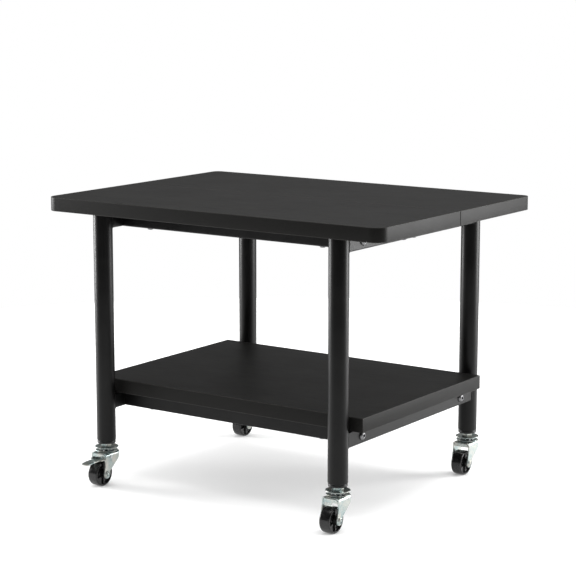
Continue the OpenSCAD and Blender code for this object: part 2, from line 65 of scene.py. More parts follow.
@dataclass(frozen=True)
class Value:
    """An output socket that takes part in sums written as Python expressions."""

    sheet: "NodeSheet"
    socket: bpy.types.NodeSocket

    @property
    def node(self) -> bpy.types.Node:
        """The node that the socket belongs to."""
        return self.socket.node

    def other(self, key: str | int) -> "Value":
        """Another output of the same node."""
        return Value(self.sheet, self.node.outputs[key])

    def maths(self, operation: str, *terms: Any) -> "Value":
        """One Math node.

        Args:
            operation: The Math node's operation.
            *terms: Its inputs in order, as numbers or values.

        Returns:
            The node's result.
        """
        return self.sheet.make("ShaderNodeMath", dict(enumerate(terms)), operation=operation)

    def __add__(self, term: Any) -> "Value":
        """This value plus a term."""
        return self.maths("ADD", self, term)

    def __radd__(self, term: Any) -> "Value":
        """A term plus this value."""
        return self.maths("ADD", term, self)

    def __sub__(self, term: Any) -> "Value":
        """This value less a term."""
        return self.maths("SUBTRACT", self, term)

    def __rsub__(self, term: Any) -> "Value":
        """A term less this value."""
        return self.maths("SUBTRACT", term, self)

    def __mul__(self, term: Any) -> "Value":
        """This value times a term."""
        return self.maths("MULTIPLY", self, term)

    def __truediv__(self, term: Any) -> "Value":
        """This value divided by a term."""
        return self.maths("DIVIDE", self, term)

    def __rtruediv__(self, term: Any) -> "Value":
        """A term divided by this value."""
        return self.maths("DIVIDE", term, self)

    def __pow__(self, term: Any) -> "Value":
        """This value raised to a power."""
        return self.maths("POWER", self, term)

    def __abs__(self) -> "Value":
        """This value without its sign."""
        return self.maths("ABSOLUTE", self)

    def step(self, low: float, high: float) -> "Value":
        """A smooth step.

        Args:
            low: The value where it is 0.
            high: The value where it is 1.

        Returns:
            The step's height.
        """
        return self.sheet.make(
            "ShaderNodeMapRange", {"Value": self, "From Min": low, "From Max": high},
            interpolation_type="SMOOTHSTEP",
        )


class NodeSheet:
    """A node tree with one short way to add a node, set it up and feed it."""

    def __init__(self, tree: bpy.types.NodeTree) -> None:
        """Takes over a tree and empties it."""
        self.tree = tree
        tree.nodes.clear()

    def make(
        self, kind: str, values: Mapping[str | int, Any] | None = None, output: str | int = 0,
        **settings: Any,
    ) -> Value:
        """Adds a node.

        Args:
            kind: The node's type.
            values: What each input gets, by name or place: a number, a colour or a Value. A list
                of values links them all to one input.
            output: The output to return.
            **settings: The node's own settings, which are set before its sockets are fed.
                "choices" is the number of an Index Switch's items.

        Returns:
            The chosen output, or the node's first input's stand-in where it has none.
        """
        node = self.tree.nodes.new(kind)
        for key, setting in settings.items():
            if key == "choices":
                for _ in range(setting - len(node.index_switch_items)):
                    node.index_switch_items.new()
            else:
                setattr(node, key, setting)
        for key, value in (values or {}).items():
            for one in value if isinstance(value, list) else [value]:
                if isinstance(one, Value):
                    self.tree.links.new(one.socket, node.inputs[key])
                else:
                    node.inputs[key].default_value = one
        return Value(self, node.outputs[output] if len(node.outputs) else node.inputs[0])

    def place(self) -> Value:
        """The point in the object's own coordinates, in metres."""
        return self.make("ShaderNodeTexCoord", output="Object")

    def stretched(self, place: Value, per_metre: Sequence[float]) -> Value:
        """Coordinates scaled by a factor on each axis."""
        return self.make("ShaderNodeVectorMath", {0: place, 1: tuple(per_metre)}, operation="MULTIPLY")

    def noise(self, place: Value, scale: float, detail: float = 2.0) -> Value:
        """Soft noise from 0 to 1."""
        return self.make("ShaderNodeTexNoise", {"Vector": place, "Scale": scale, "Detail": detail})

    def blend(self, share: Any, first: Any, second: Any) -> Value:
        """A colour between two colours.

        Args:
            share: How much of the second colour, from 0 to 1.
            first: The first colour, as three numbers or a value.
            second: The second colour, in the same way.

        Returns:
            The mixed colour.
        """
        colours = [(*colour, 1.0) if isinstance(colour, tuple) else colour for colour in (first, second)]
        return self.make(
            "ShaderNodeMix", {0: share, 6: colours[0], 7: colours[1]}, output=2, data_type="RGBA"
        )

    def crevice(self, reach: float) -> Value:
        """How open a place is, from 0 deep in a crevice to 1, judged over reach metres."""
        return self.make("ShaderNodeAmbientOcclusion", {"Distance": reach}, "AO", samples=16)

    def bump(self, height: Value, depth: float, strength: float = 1.0) -> Value:
        """A normal from a height of 0 to 1, where 1 is depth metres."""
        return self.make("ShaderNodeBump", {"Height": height, "Distance": depth, "Strength": strength})


# ---------------------------------------------------------------- finishes


@dataclass(frozen=True)
class Finish:
    """A surface finish: its name, its slot in the record and what is the same all over it."""

    name: str
    slot: str
    metallic: float = 0.0
    specular: float = 0.5

    def material(self) -> bpy.types.Material:
        """The finish as a material, made the first time that it is asked for.

        Returns:
            The material.
        """
        found = bpy.data.materials.get(self.name)
        if found:
            return found
        made = bpy.data.materials.new(self.name)
        made.use_nodes = True
        sheet = NodeSheet(made.node_tree)
        shader = sheet.make(
            "ShaderNodeBsdfPrincipled", {"Metallic": self.metallic, "Specular IOR Level": self.specular}
        )
        sheet.make("ShaderNodeOutputMaterial", {"Surface": shader})
        for socket, value in self.surface(sheet).items():
            target = shader.node.inputs[socket]
            if isinstance(value, Value):
                sheet.tree.links.new(value.socket, target)
            else:
                target.default_value = value
        return made

    def surface(self, sheet: NodeSheet) -> dict[str, Any]:
        """What changes over the surface.

        Args:
            sheet: The material's node sheet.

        Returns:
            The shader's sockets and what each one gets.
        """
        raise NotImplementedError


@dataclass(frozen=True)
class BlackLaminate(Finish):
    """Black melamine face with a fine pressed wood grain along X."""

    dark: Point3 = (0.0046, 0.0045, 0.0042)
    light: Point3 = (0.0112, 0.0109, 0.0100)
    roughness: float = 0.40
    grain_depth: float = 0.00004

    def surface(self, sheet: NodeSheet) -> dict[str, Any]:
        """Long soft figure, short pores along X, and faint handling marks.

        Args:
            sheet: The material's node sheet.

        Returns:
            The shader's sockets and what each one gets.
        """
        place = sheet.place()
        figure = sheet.noise(sheet.stretched(place, (9.0, 95.0, 95.0)), 1.0, 4.0)
        streak = sheet.noise(sheet.stretched(place, (38.0, 1250.0, 1250.0)), 1.0, 3.0)
        pores = streak.step(0.56, 0.70)
        marks = sheet.noise(place, 14.0, 3.0)
        speck = sheet.noise(place, 2600.0, 1.0)
        return {
            "Base Color": sheet.blend(
                (figure * 0.6 + streak * 0.5 - pores * 0.35).step(0.25, 0.85), self.dark, self.light
            ),
            "Roughness": self.roughness + marks * 0.08 + speck * 0.05 + pores * 0.08,
            "Normal": sheet.bump(streak * 0.55 - pores * 0.6 + speck * 0.22, self.grain_depth, 0.7),
        }


@dataclass(frozen=True)
class EdgeBand(Finish):
    """Black plastic edging: a fine cast texture, paler where its long edges were trimmed."""

    dark: Point3 = (0.0068, 0.0066, 0.0061)
    worn: Point3 = (0.040, 0.039, 0.037)
    roughness: float = 0.42
    rims: tuple[float, ...] = ()

    def surface(self, sheet: NodeSheet) -> dict[str, Any]:
        """Fine grit with trim wear near the heights in rims, in metres.

        Args:
            sheet: The material's node sheet.

        Returns:
            The shader's sockets and what each one gets.
        """
        place = sheet.place()
        grit = sheet.noise(place, 1500.0, 2.0)
        cloud = sheet.noise(place, 22.0, 3.0)
        chatter = sheet.noise(sheet.stretched(place, (900.0, 900.0, 30.0)), 1.0, 2.0)
        height = sheet.make("ShaderNodeSeparateXYZ", {0: place}, "Z")
        wear: Any = 0.0
        for rim in self.rims:
            wear = wear + (1.0 - abs(height - rim).step(0.0002, 0.0011)) * (0.35 + cloud * 0.5)
        return {
            "Base Color": sheet.blend(wear, self.dark, self.worn),
            "Roughness": self.roughness + cloud * 0.06 + wear * 0.08,
            "Normal": sheet.bump(grit * 0.7 + chatter * 0.3, 0.000018, 0.6),
        }


@dataclass(frozen=True)
class PowderCoat(Finish):
    """Black powder coat with fine orange peel and a slight mottle."""

    dark: Point3 = (0.0018, 0.0018, 0.0018)
    light: Point3 = (0.0040, 0.0039, 0.0038)
    roughness: float = 0.33

    def surface(self, sheet: NodeSheet) -> dict[str, Any]:
        """Orange peel about a millimetre across over finer grit.

        Args:
            sheet: The material's node sheet.

        Returns:
            The shader's sockets and what each one gets.
        """
        place = sheet.place()
        peel = sheet.noise(place, 820.0, 2.0)
        grit = sheet.noise(place, 3400.0, 1.0)
        cloud = sheet.noise(place, 26.0, 3.0)
        return {
            "Base Color": sheet.blend(cloud.step(0.3, 0.7), self.dark, self.light),
            "Roughness": self.roughness + cloud * 0.07 + grit * 0.05,
            "Normal": sheet.bump(peel * 0.8 + grit * 0.3, 0.00003, 0.55),
        }


@dataclass(frozen=True)
class ZincPlate(Finish):
    """Bright zinc plate: cool, a little cloudy, with fine rubbed lines and painted shade in its crevices."""

    metallic: float = 0.90
    cool: Point3 = (0.31, 0.39, 0.39)
    warm: Point3 = (0.49, 0.48, 0.44)
    # painted shade: the deep colour is what crevices are darkened to, standing in for shadow
    deep: Point3 = (0.05, 0.07, 0.075)
    reach: float = 0.0036
    roughness: float = 0.19

    def surface(self, sheet: NodeSheet) -> dict[str, Any]:
        """Passivation clouds, faint rubs, small dull spots and painted shade in the crevices.

        Args:
            sheet: The material's node sheet.

        Returns:
            The shader's sockets and what each one gets.
        """
        place = sheet.place()
        cloud = sheet.noise(place, 90.0, 4.0)
        rubs = sheet.noise(sheet.stretched(place, (300.0, 2600.0, 700.0)), 1.0, 3.0)
        spots = sheet.noise(place, 700.0, 2.0).step(0.60, 0.74)
        plate = sheet.blend(cloud.step(0.30, 0.70), self.cool, self.warm)
        # painted shade: where ambient occlusion finds a crevice, the colour is darkened towards the deep
        # colour, standing in for the shadow that falls there
        painted_crevice_shade = 1.0 - sheet.crevice(self.reach).step(0.10, 0.60)
        return {
            "Base Color": sheet.blend(painted_crevice_shade, plate, self.deep),
            "Roughness": self.roughness + cloud * 0.10 + rubs * 0.08 + spots * 0.12,
            "Normal": sheet.bump(rubs * 0.5 + cloud * 0.5, 0.000012, 0.6),
        }


@dataclass(frozen=True)
class TurnedSteel(Finish):
    """Machined or plated steel with cutting lines and a few stains."""

    metallic: float = 1.0
    base: Point3 = (0.40, 0.41, 0.42)
    stain: Point3 = (0.20, 0.19, 0.18)
    roughness: float = 0.30

    def surface(self, sheet: NodeSheet) -> dict[str, Any]:
        """Fine lines across the part and low stains.

        Args:
            sheet: The material's node sheet.

        Returns:
            The shader's sockets and what each one gets.
        """
        place = sheet.place()
        lines = sheet.noise(sheet.stretched(place, (3800.0, 500.0, 500.0)), 1.0, 2.0)
        stains = sheet.noise(place, 420.0, 3.0).step(0.55, 0.80)
        return {
            "Base Color": sheet.blend(stains * 0.7, self.base, self.stain),
            "Roughness": self.roughness + lines * 0.10 + stains * 0.15,
            "Normal": sheet.bump(lines, 0.000010, 0.5),
        }


@dataclass(frozen=True)
class MouldedPlastic(Finish):
    """Black moulded plastic: spark-eroded texture, soft sheen and a dusting of scuffs."""

    dark: Point3 = (0.0032, 0.0032, 0.0033)
    scuffed: Point3 = (0.0095, 0.0095, 0.0095)
    roughness: float = 0.34
    texture: float = 1900.0

    def surface(self, sheet: NodeSheet) -> dict[str, Any]:
        """Fine mould texture with cloudy scuffs.

        Args:
            sheet: The material's node sheet.

        Returns:
            The shader's sockets and what each one gets.
        """
        place = sheet.place()
        grain = sheet.noise(place, self.texture, 2.0)
        scuffs = sheet.noise(place, 160.0, 4.0).step(0.50, 0.78)
        return {
            "Base Color": sheet.blend(scuffs, self.dark, self.scuffed),
            "Roughness": self.roughness + grain * 0.08 + scuffs * 0.12,
            "Normal": sheet.bump(grain, 0.000016, 0.5),
        }


@dataclass(frozen=True)
class Beech(Finish):
    """Bare beech with short dark rays along Y."""

    pale: Point3 = (0.60, 0.42, 0.25)
    ray: Point3 = (0.36, 0.22, 0.12)
    roughness: float = 0.62

    def surface(self, sheet: NodeSheet) -> dict[str, Any]:
        """Grain along the dowel with small rays.

        Args:
            sheet: The material's node sheet.

        Returns:
            The shader's sockets and what each one gets.
        """
        place = sheet.place()
        grain = sheet.noise(sheet.stretched(place, (700.0, 45.0, 700.0)), 1.0, 3.0)
        rays = sheet.noise(sheet.stretched(place, (2600.0, 420.0, 2600.0)), 1.0, 1.0).step(0.6, 0.7)
        return {
            "Base Color": sheet.blend(grain * 0.5 + rays * 0.4, self.pale, self.ray),
            "Roughness": self.roughness + rays * 0.1, "Normal": sheet.bump(grain - rays * 0.3, 0.00005, 0.6),
        }


LAMINATE = BlackLaminate("finish_black_laminate", "black_laminate", specular=0.20)
POWDER = PowderCoat("finish_powder_coat", "powder_coat", specular=0.17)
ZINC = ZincPlate("finish_zinc_plate", "zinc_plate")
SCREW_STEEL = TurnedSteel("finish_screw_steel", "dark_screws", base=(0.17, 0.17, 0.175), roughness=0.34)
BARE_STEEL = TurnedSteel("finish_bare_steel", "bare_steel", base=(0.52, 0.53, 0.54))
PLUG = MouldedPlastic("finish_plug_plastic", "plug_plastic", specular=0.35)
WHEEL = MouldedPlastic("finish_wheel_plastic", "wheel_plastic", roughness=0.20, specular=0.45, texture=1300.0)
BEECH = Beech("finish_beech", "beech")


# ---------------------------------------------------------------- drawing and meshes


def fillet(corners: Sequence[Point3], closed: bool, steps: int = 5) -> list[Point2]:
    """Rounds the corners of a drawing made of straight lines.

    Args:
        corners: Each corner as (x, y, radius). A radius of 0 keeps it sharp.
        closed: Whether the last corner joins the first.
        steps: How many pieces each rounding has.

    Returns:
        The points of the rounded drawing, in order.
    """
    points: list[Point2] = []
    count = len(corners)
    for i, (x, y, radius) in enumerate(corners):
        here = Vector((x, y))
        if radius <= 0 or (not closed and i in (0, count - 1)):
            points.append((x, y))
            continue
        before = (Vector(corners[i - 1][:2]) - here).normalized()
        after = (Vector(corners[(i + 1) % count][:2]) - here).normalized()
        half = before.angle(after) / 2
        reach = radius / math.tan(half)
        middle = here + (before + after).normalized() * (radius / math.sin(half))
        start, stop = here + before * reach - middle, here + after * reach - middle
        first = math.atan2(start.y, start.x)
        turn = (math.atan2(stop.y, stop.x) - first + math.pi) % math.tau - math.pi
        for k in range(steps + 1):
            angle = first + turn * k / steps
            points.append((middle.x + radius * math.cos(angle), middle.y + radius * math.sin(angle)))
    return points


def arc(first: float, last: float, steps: int) -> list[float]:
    """Evenly spaced angles in radians, for a first and a last angle in degrees, without the first one."""
    start, stop = math.radians(first), math.radians(last)
    return [start + (stop - start) * k / steps for k in range(1, steps + 1)]


def along(points: Sequence[Point2], key: float) -> float:
    """Reads a drawing whose first number only rises or only falls.

    Args:
        points: The drawing's points.
        key: The first number to look up.

    Returns:
        The second number there, held beyond the ends.
    """
    ordered = sorted(points)
    if key <= ordered[0][0]:
        return ordered[0][1]
    for (a, u), (b, v) in zip(ordered, ordered[1:]):
        if key <= b:
            return u + (v - u) * (key - a) / max(b - a, 1e-9)
    return ordered[-1][1]


def loft(rings: Sequence[Sequence[Vector]], looped: bool = False, capped: bool = False) -> Mesh3:
    """Joins closed rings of equal counts with a skin.

    Args:
        rings: The rings, in order.
        looped: Whether the last ring joins the first.
        capped: Whether each end ring is filled with one face.

    Returns:
        Points and faces.
    """
    count = len(rings[0])
    points = [point for ring in rings for point in ring]
    faces: list[tuple[int, ...]] = []
    for i in range(len(rings) if looped else len(rings) - 1):
        a, b = i * count, (i + 1) % len(rings) * count
        for j in range(count):
            k = (j + 1) % count
            faces.append((a + j, a + k, b + k, b + j))
    if capped:
        faces.append(tuple(reversed(range(count))))
        faces.append(tuple(range((len(rings) - 1) * count, len(rings) * count)))
    return points, faces


def turned(section: Sequence[Point2], looped: bool, steps: int = 72) -> Mesh3:
    """Turns a section round the Z axis.

    Args:
        section: Its points as (radius, height).
        looped: Whether the section is a closed loop clear of the axis.
        steps: How many pieces the circle has.

    Returns:
        Points and faces.
    """
    circle = [(math.cos(math.tau * j / steps), math.sin(math.tau * j / steps)) for j in range(steps)]
    rings = [[Vector((r * c, r * s, h)) for c, s in circle] for r, h in section]
    return loft(rings, looped)


ALONG_X = Matrix.Rotation(math.radians(90), 4, "Y")     # lays what stands on Z along +X


def moved(mesh: Mesh3, place: Matrix) -> Mesh3:
    """A copy of some geometry put elsewhere."""
    return [place @ point for point in mesh[0]], mesh[1]


def joined(meshes: Iterable[Mesh3]) -> Mesh3:
    """Several geometries as one.

    Args:
        meshes: The geometries, in order.

    Returns:
        Points and faces.
    """
    points: list[Vector] = []
    faces: list[tuple[int, ...]] = []
    for more_points, more_faces in meshes:
        start = len(points)
        points += more_points
        faces += [tuple(start + k for k in face) for face in more_faces]
    return points, faces


def raw_mesh(name: str, shape: Mesh3, edges: Sequence[tuple[int, int]] = ()) -> bpy.types.Mesh:
    """A mesh in metres from geometry in millimetres.

    Args:
        name: The mesh's name.
        shape: Points and faces, in millimetres.
        edges: Loose edges, as pairs of points.

    Returns:
        The mesh.
    """
    mesh = bpy.data.meshes.new(name)
    mesh.from_pydata([point * MM for point in shape[0]], edges, shape[1])
    return mesh


def shown(name: str, data: bpy.types.ID) -> bpy.types.Object:
    """A new object in the scene.

    Args:
        name: The object's name.
        data: What it shows.

    Returns:
        The object.
    """
    made = bpy.data.objects.new(name, data)
    bpy.context.scene.collection.objects.link(made)
    return made


def shade(mesh: bpy.types.Mesh, sharp: float, outward: bool = True) -> None:
    """Merges doubled points, turns faces outwards and marks sharp edges.

    Args:
        mesh: The mesh to dress, in metres.
        sharp: Edges that turn by more than this many degrees stay sharp.
        outward: Whether the normals are worked out afresh.
    """
    work = bmesh.new()
    work.from_mesh(mesh)
    bmesh.ops.remove_doubles(work, verts=work.verts, dist=WELD_MM * MM)
    if outward:
        bmesh.ops.recalc_face_normals(work, faces=work.faces)
    for face in work.faces:
        face.smooth = True
    for edge in work.edges:
        edge.smooth = len(edge.link_faces) != 2 or edge.calc_face_angle() < math.radians(sharp)
    work.to_mesh(mesh)
    work.free()


def piece(name: str, shape: Mesh3, finish: Finish, sharp: float = 35.0) -> bpy.types.Object:
    """Makes an object from geometry in millimetres.

    Args:
        name: The piece's name.
        shape: Its points and faces.
        finish: What it is covered with.
        sharp: Edges that turn by more than this many degrees stay sharp.

    Returns:
        The new object, at the origin.
    """
    mesh = raw_mesh(name, shape)
    mesh.materials.append(finish.material())
    shade(mesh, sharp)
    return shown(name, mesh)


def settle(made: bpy.types.Object, sharp: float = 35.0, outward: bool = False) -> bpy.types.Object:
    """Turns an object's modifiers into a plain mesh.

    Args:
        made: The object.
        sharp: Edges that turn by more than this many degrees stay sharp.
        outward: Whether the normals are worked out afresh.

    Returns:
        The same object without modifiers.
    """
    graph = bpy.context.evaluated_depsgraph_get()
    mesh = bpy.data.meshes.new_from_object(made.evaluated_get(graph))
    made.modifiers.clear()
    old, made.data = made.data, mesh
    bpy.data.meshes.remove(old)
    mesh.name = made.name
    shade(mesh, sharp, outward)
    return made


def sheet_metal(made: bpy.types.Object, thickness: float, edge: float) -> bpy.types.Object:
    """Gives a surface the thickness of sheet metal on its inner side, and broken edges.

    Args:
        made: The object whose mesh is the sheet's outer side.
        thickness: The sheet's thickness in millimetres.
        edge: How far its edges are broken, in millimetres.

    Returns:
        The same object with a plain mesh.
    """
    wall = made.modifiers.new("wall", "SOLIDIFY")
    wall.thickness, wall.offset, wall.use_even_offset = thickness * MM, -1.0, True
    soft = made.modifiers.new("edge", "BEVEL")
    soft.width, soft.segments, soft.limit_method = edge * MM, 2, "ANGLE"
    soft.angle_limit = math.radians(42)
    return settle(made, 50.0)


def attach(made: bpy.types.Object, body: str, finish: Finish, *stands_for: str) -> None:
    """Hands a finished piece over to the frame.

    Args:
        made: The piece.
        body: The CAD body that it moves with.
        finish: Not used.
        *stands_for: The CAD nodes that it replaces.
    """
    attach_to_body(made, body)
    if stands_for:
        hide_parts(*stands_for)
    log.info("%s: %d faces on %s", made.name, len(made.data.polygons), body)


def millimetres(node: str) -> tuple[Vector, Vector]:
    """A CAD node's lowest and highest corners, in millimetres."""
    low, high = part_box(node)
    return low / MM, high / MM


class Corner(Enum):
    """The four corners of the stand."""

    FRONT_LEFT = "front_left"
    FRONT_RIGHT = "front_right"
    BACK_LEFT = "back_left"
    BACK_RIGHT = "back_right"

    @property
    def braked(self) -> bool:
        """Whether this corner's caster has a brake."""
        return self in (Corner.FRONT_LEFT, Corner.BACK_LEFT)

    def node(self, part: str) -> str:
        """The name of a CAD node or body at this corner."""
        return f"{self.value}_{part}"

    def centre(self, part: str = "leg") -> Vector:
        """The middle of a CAD node at this corner, in millimetres."""
        low, high = millimetres(self.node(part))
        return (low + high) / 2

    def half_width(self, part: str) -> float:
        """Half of a CAD node's width along X at this corner, in millimetres."""
        low, high = millimetres(self.node(part))
        return (high.x - low.x) / 2


# ---------------------------------------------------------------- repeated parts


class Figure(Enum):
    """The outline that a turned part's section can take in place of a circle."""

    ROUND = "round"
    HEX = "hex"
    CROSS = "cross"


@dataclass
class GeometryRecipe:
    """A Geometry Nodes tree with named inputs, run once on some points.

    The points' own mesh goes in, and the tree's result comes out as a plain mesh.
    """

    name: str
    sizes: dict[str, float]
    sheet: NodeSheet = field(init=False)
    inputs: Value = field(init=False)

    def __post_init__(self) -> None:
        """Makes the tree and its named inputs."""
        tree = bpy.data.node_groups.new(self.name, "GeometryNodeTree")
        face = tree.interface
        face.new_socket("Geometry", in_out="INPUT", socket_type="NodeSocketGeometry")
        for size in self.sizes:
            face.new_socket(size, in_out="INPUT", socket_type="NodeSocketFloat")
        face.new_socket("Finish", in_out="INPUT", socket_type="NodeSocketMaterial")
        face.new_socket("Geometry", in_out="OUTPUT", socket_type="NodeSocketGeometry")
        self.sheet = NodeSheet(tree)
        self.inputs = self.sheet.make("NodeGroupInput")

    def size(self, name: str) -> Value:
        """One of the tree's named sizes."""
        return self.inputs.other(name)

    def close(self, geometry: Value) -> None:
        """Ends the tree with Realize Instances and Set Material.

        Args:
            geometry: What the tree gives out.
        """
        real = self.sheet.make("GeometryNodeRealizeInstances", {"Geometry": geometry})
        done = self.sheet.make("GeometryNodeSetMaterial", {"Geometry": real, "Material": self.size("Finish")})
        self.sheet.make("NodeGroupOutput", {"Geometry": done})

    def run(self, name: str, seed_mesh: bpy.types.Mesh, finish: Finish, sharp: float) -> bpy.types.Object:
        """Runs the tree.

        Args:
            name: The new piece's name.
            seed_mesh: The mesh that goes in, in metres.
            finish: What the result is covered with.
            sharp: Edges that turn by more than this many degrees stay sharp.

        Returns:
            An object with a plain mesh.
        """
        made = shown(name, seed_mesh)
        modifier = made.modifiers.new("recipe", "NODES")
        modifier.node_group = self.sheet.tree
        given = {**{key: value * MM for key, value in self.sizes.items()}, "Finish": finish.material()}
        for item in self.sheet.tree.interface.items_tree:
            if item.in_out == "INPUT" and item.name in given:
                modifier[item.identifier] = given[item.name]
        return settle(made, sharp, outward=True)


def seed_points(name: str, spots: Sequence[tuple[Vector, Vector]]) -> bpy.types.Mesh:
    """Loose points that each carry a turn.

    Args:
        name: The mesh's name.
        spots: Each point in millimetres with its turn as XYZ angles in radians.

    Returns:
        The mesh, in metres, with an attribute named turn.
    """
    mesh = raw_mesh(name, ([spot for spot, _ in spots], []))
    turns = mesh.attributes.new("turn", "FLOAT_VECTOR", "POINT")
    turns.data.foreach_set("vector", [number for _, turn in spots for number in turn])
    return mesh


def turned_on_points(
    name: str, section: Sequence[Point3], radius: float, height: float, figure: Figure = Figure.ROUND,
    steps: int = 48, corner_drop: float = 0.0,
) -> GeometryRecipe:
    """A recipe that puts one turned part on every point.

    Args:
        name: The tree's name.
        section: The part's section as (share of the radius, share of the height, share of the
            figure), from one end of its skin to the other.
        radius: The size named Radius, in millimetres.
        height: The size named Height, in millimetres.
        figure: The outline that the third number blends in.
        steps: How many pieces the circle has.
        corner_drop: How far a figure's corners are cut back from the end faces, as a slope.

    Returns:
        The recipe, ready to run.
    """
    recipe = GeometryRecipe(name, {"Radius": radius, "Height": height})
    sheet = recipe.sheet
    grid = sheet.make(
        "GeometryNodeMeshGrid",
        {"Size X": 1.0, "Size Y": 1.0, "Vertices X": steps + 1, "Vertices Y": len(section)},
    )
    spot = sheet.make("ShaderNodeSeparateXYZ", {0: sheet.make("GeometryNodeInputPosition")})
    angle = (spot + 0.5) * math.tau
    row = (spot.other("Y") + 0.5) * (len(section) - 1)
    chosen = sheet.make(
        "GeometryNodeIndexSwitch",
        {0: row.maths("ROUND", row), **{k + 1: entry for k, entry in enumerate(section)}}, data_type="VECTOR",
        choices=len(section),
    )
    parts = sheet.make("ShaderNodeSeparateXYZ", {0: chosen})
    share = parts.other("Z")
    if figure is Figure.HEX:
        side = math.tau / 6
        lean = (angle / side).maths("FRACT", angle / side) - 0.5
        swell = 1.0 / lean.maths("COSINE", lean * side) - 1.0
    elif figure is Figure.CROSS:
        wing = abs(angle.maths("COSINE", angle * 2.0))
        swell = (wing ** 5.0) * 0.62 - 0.62
    else:
        swell = angle * 0.0
    reach = parts * recipe.size("Radius") * (1.0 + share * swell)
    drop = parts.other("Y").maths("SIGN", parts.other("Y") - 0.5) * corner_drop
    rise = parts.other("Y") * recipe.size("Height") - drop * share * swell * recipe.size("Radius")
    skin = sheet.make(
        "GeometryNodeSetPosition",
        {
            "Geometry": grid,
            "Position": sheet.make(
                "ShaderNodeCombineXYZ",
                {0: reach * angle.maths("COSINE", angle), 1: reach * angle.maths("SINE", angle), 2: rise},
            ),
        },
    )
    part = sheet.make("GeometryNodeMergeByDistance", {"Geometry": skin, "Distance": 2e-6})
    turn = sheet.make(
        "FunctionNodeEulerToRotation",
        {0: sheet.make("GeometryNodeInputNamedAttribute", {"Name": "turn"}, data_type="FLOAT_VECTOR")},
    )
    recipe.close(
        sheet.make(
            "GeometryNodeInstanceOnPoints", {"Points": recipe.inputs, "Instance": part, "Rotation": turn}
        )
    )
    return recipe


def fastener_section(head: Sequence[Point2], socket: Point2, shank: Point2) -> list[Point3]:
    """The section of a headed fastener, from the middle of its socket to the end of its shank.

    Args:
        head: The head's outer skin as shares of its radius and height, from its crown down.
        socket: The socket's radius and depth, as the same shares.
        shank: The shank's radius and length, as the same shares.

    Returns:
        Points as (radius, height, share of the socket's figure).
    """
    rim, depth = socket
    floor = 1.0 - depth
    inside = [(0.0, floor - 0.06, 0.0), (rim * 0.45, floor - 0.03, 1.0), (rim * 0.96, floor, 1.0)]
    mouth = [(rim, 0.975, 1.0), (rim * 1.13, 1.0, 0.55)]
    thick, length = shank
    below = [
        (thick, 0.0, 0.0), (thick, -length + 0.2, 0.0), (thick - 0.07, -length, 0.0), (0.0, -length, 0.0)
    ]
    return inside + mouth + [(r, h, 0.0) for r, h in head] + below


# ---------------------------------------------------------------- boards


@dataclass
class Board:
    """A laminated board with a plastic band round its edges.

    The numbers in corner_radii go round from the back left corner towards the front left one.
    The seam values leave a hair's breadth of air where two boards meet.
    """

    name: str
    core_node: str
    band_node: str
    corner_radii: tuple[float, float, float, float]
    band: float = 1.0
    arris: float = 0.55
    glue_line: float = 0.12
    seam_front: float = 0.0
    seam_back: float = 0.0

    def outline(self, inset: float, low: Vector, high: Vector, steps: int = 12) -> list[Point2]:
        """The board's outline.

        Args:
            inset: How far it is taken in on every side.
            low: The board's lowest corner.
            high: Its highest corner.
            steps: How many pieces each rounding has.

        Returns:
            Points as (x, y).
        """
        corners = [(low.x, high.y), (low.x, low.y), (high.x, low.y), (high.x, high.y)]
        middle = (low + high) / 2
        drawn = [
            (
                x + math.copysign(inset, middle.x - x), y + math.copysign(inset, middle.y - y),
                max(radius - inset, 0.05),
            )
            for (x, y), radius in zip(corners, self.corner_radii)
        ]
        return fillet(drawn, closed=True, steps=steps)

    def build(self) -> None:
        """Makes the core and the band, and stands them for their nodes."""
        low, high = millimetres(self.band_node)
        low.y += self.seam_front
        high.y -= self.seam_back

        def rings(section: Sequence[Point2]) -> list[list[Vector]]:
            """One ring for each (inset, height) of a section."""
            return [[Vector((x, y, z)) for x, y in self.outline(inset, low, high)] for inset, z in section]

        cut = self.glue_line
        inner = self.band + 0.01
        core = [(inner + cut, low.z), (inner, low.z + cut), (inner, high.z - cut), (inner + cut, high.z)]
        body = piece(self.name + "_core", loft(rings(core), capped=True), LAMINATE, 30.0)
        edging = EdgeBand(
            "finish_edge_band_" + self.name, "edge_band", rims=(low.z * MM, high.z * MM), specular=0.09
        )
        section = fillet(
            [
                (0.0, low.z, self.arris), (0.0, high.z, self.arris), (self.band, high.z, cut),
                (self.band, low.z, cut),
            ],
            closed=True, steps=4,
        )
        edge = piece(self.name + "_edging", loft(rings(section), looped=True), edging, 40.0)
        attach(body, STAND, LAMINATE, self.core_node)
        attach(edge, STAND, edging, self.band_node)


# ---------------------------------------------------------------- frame


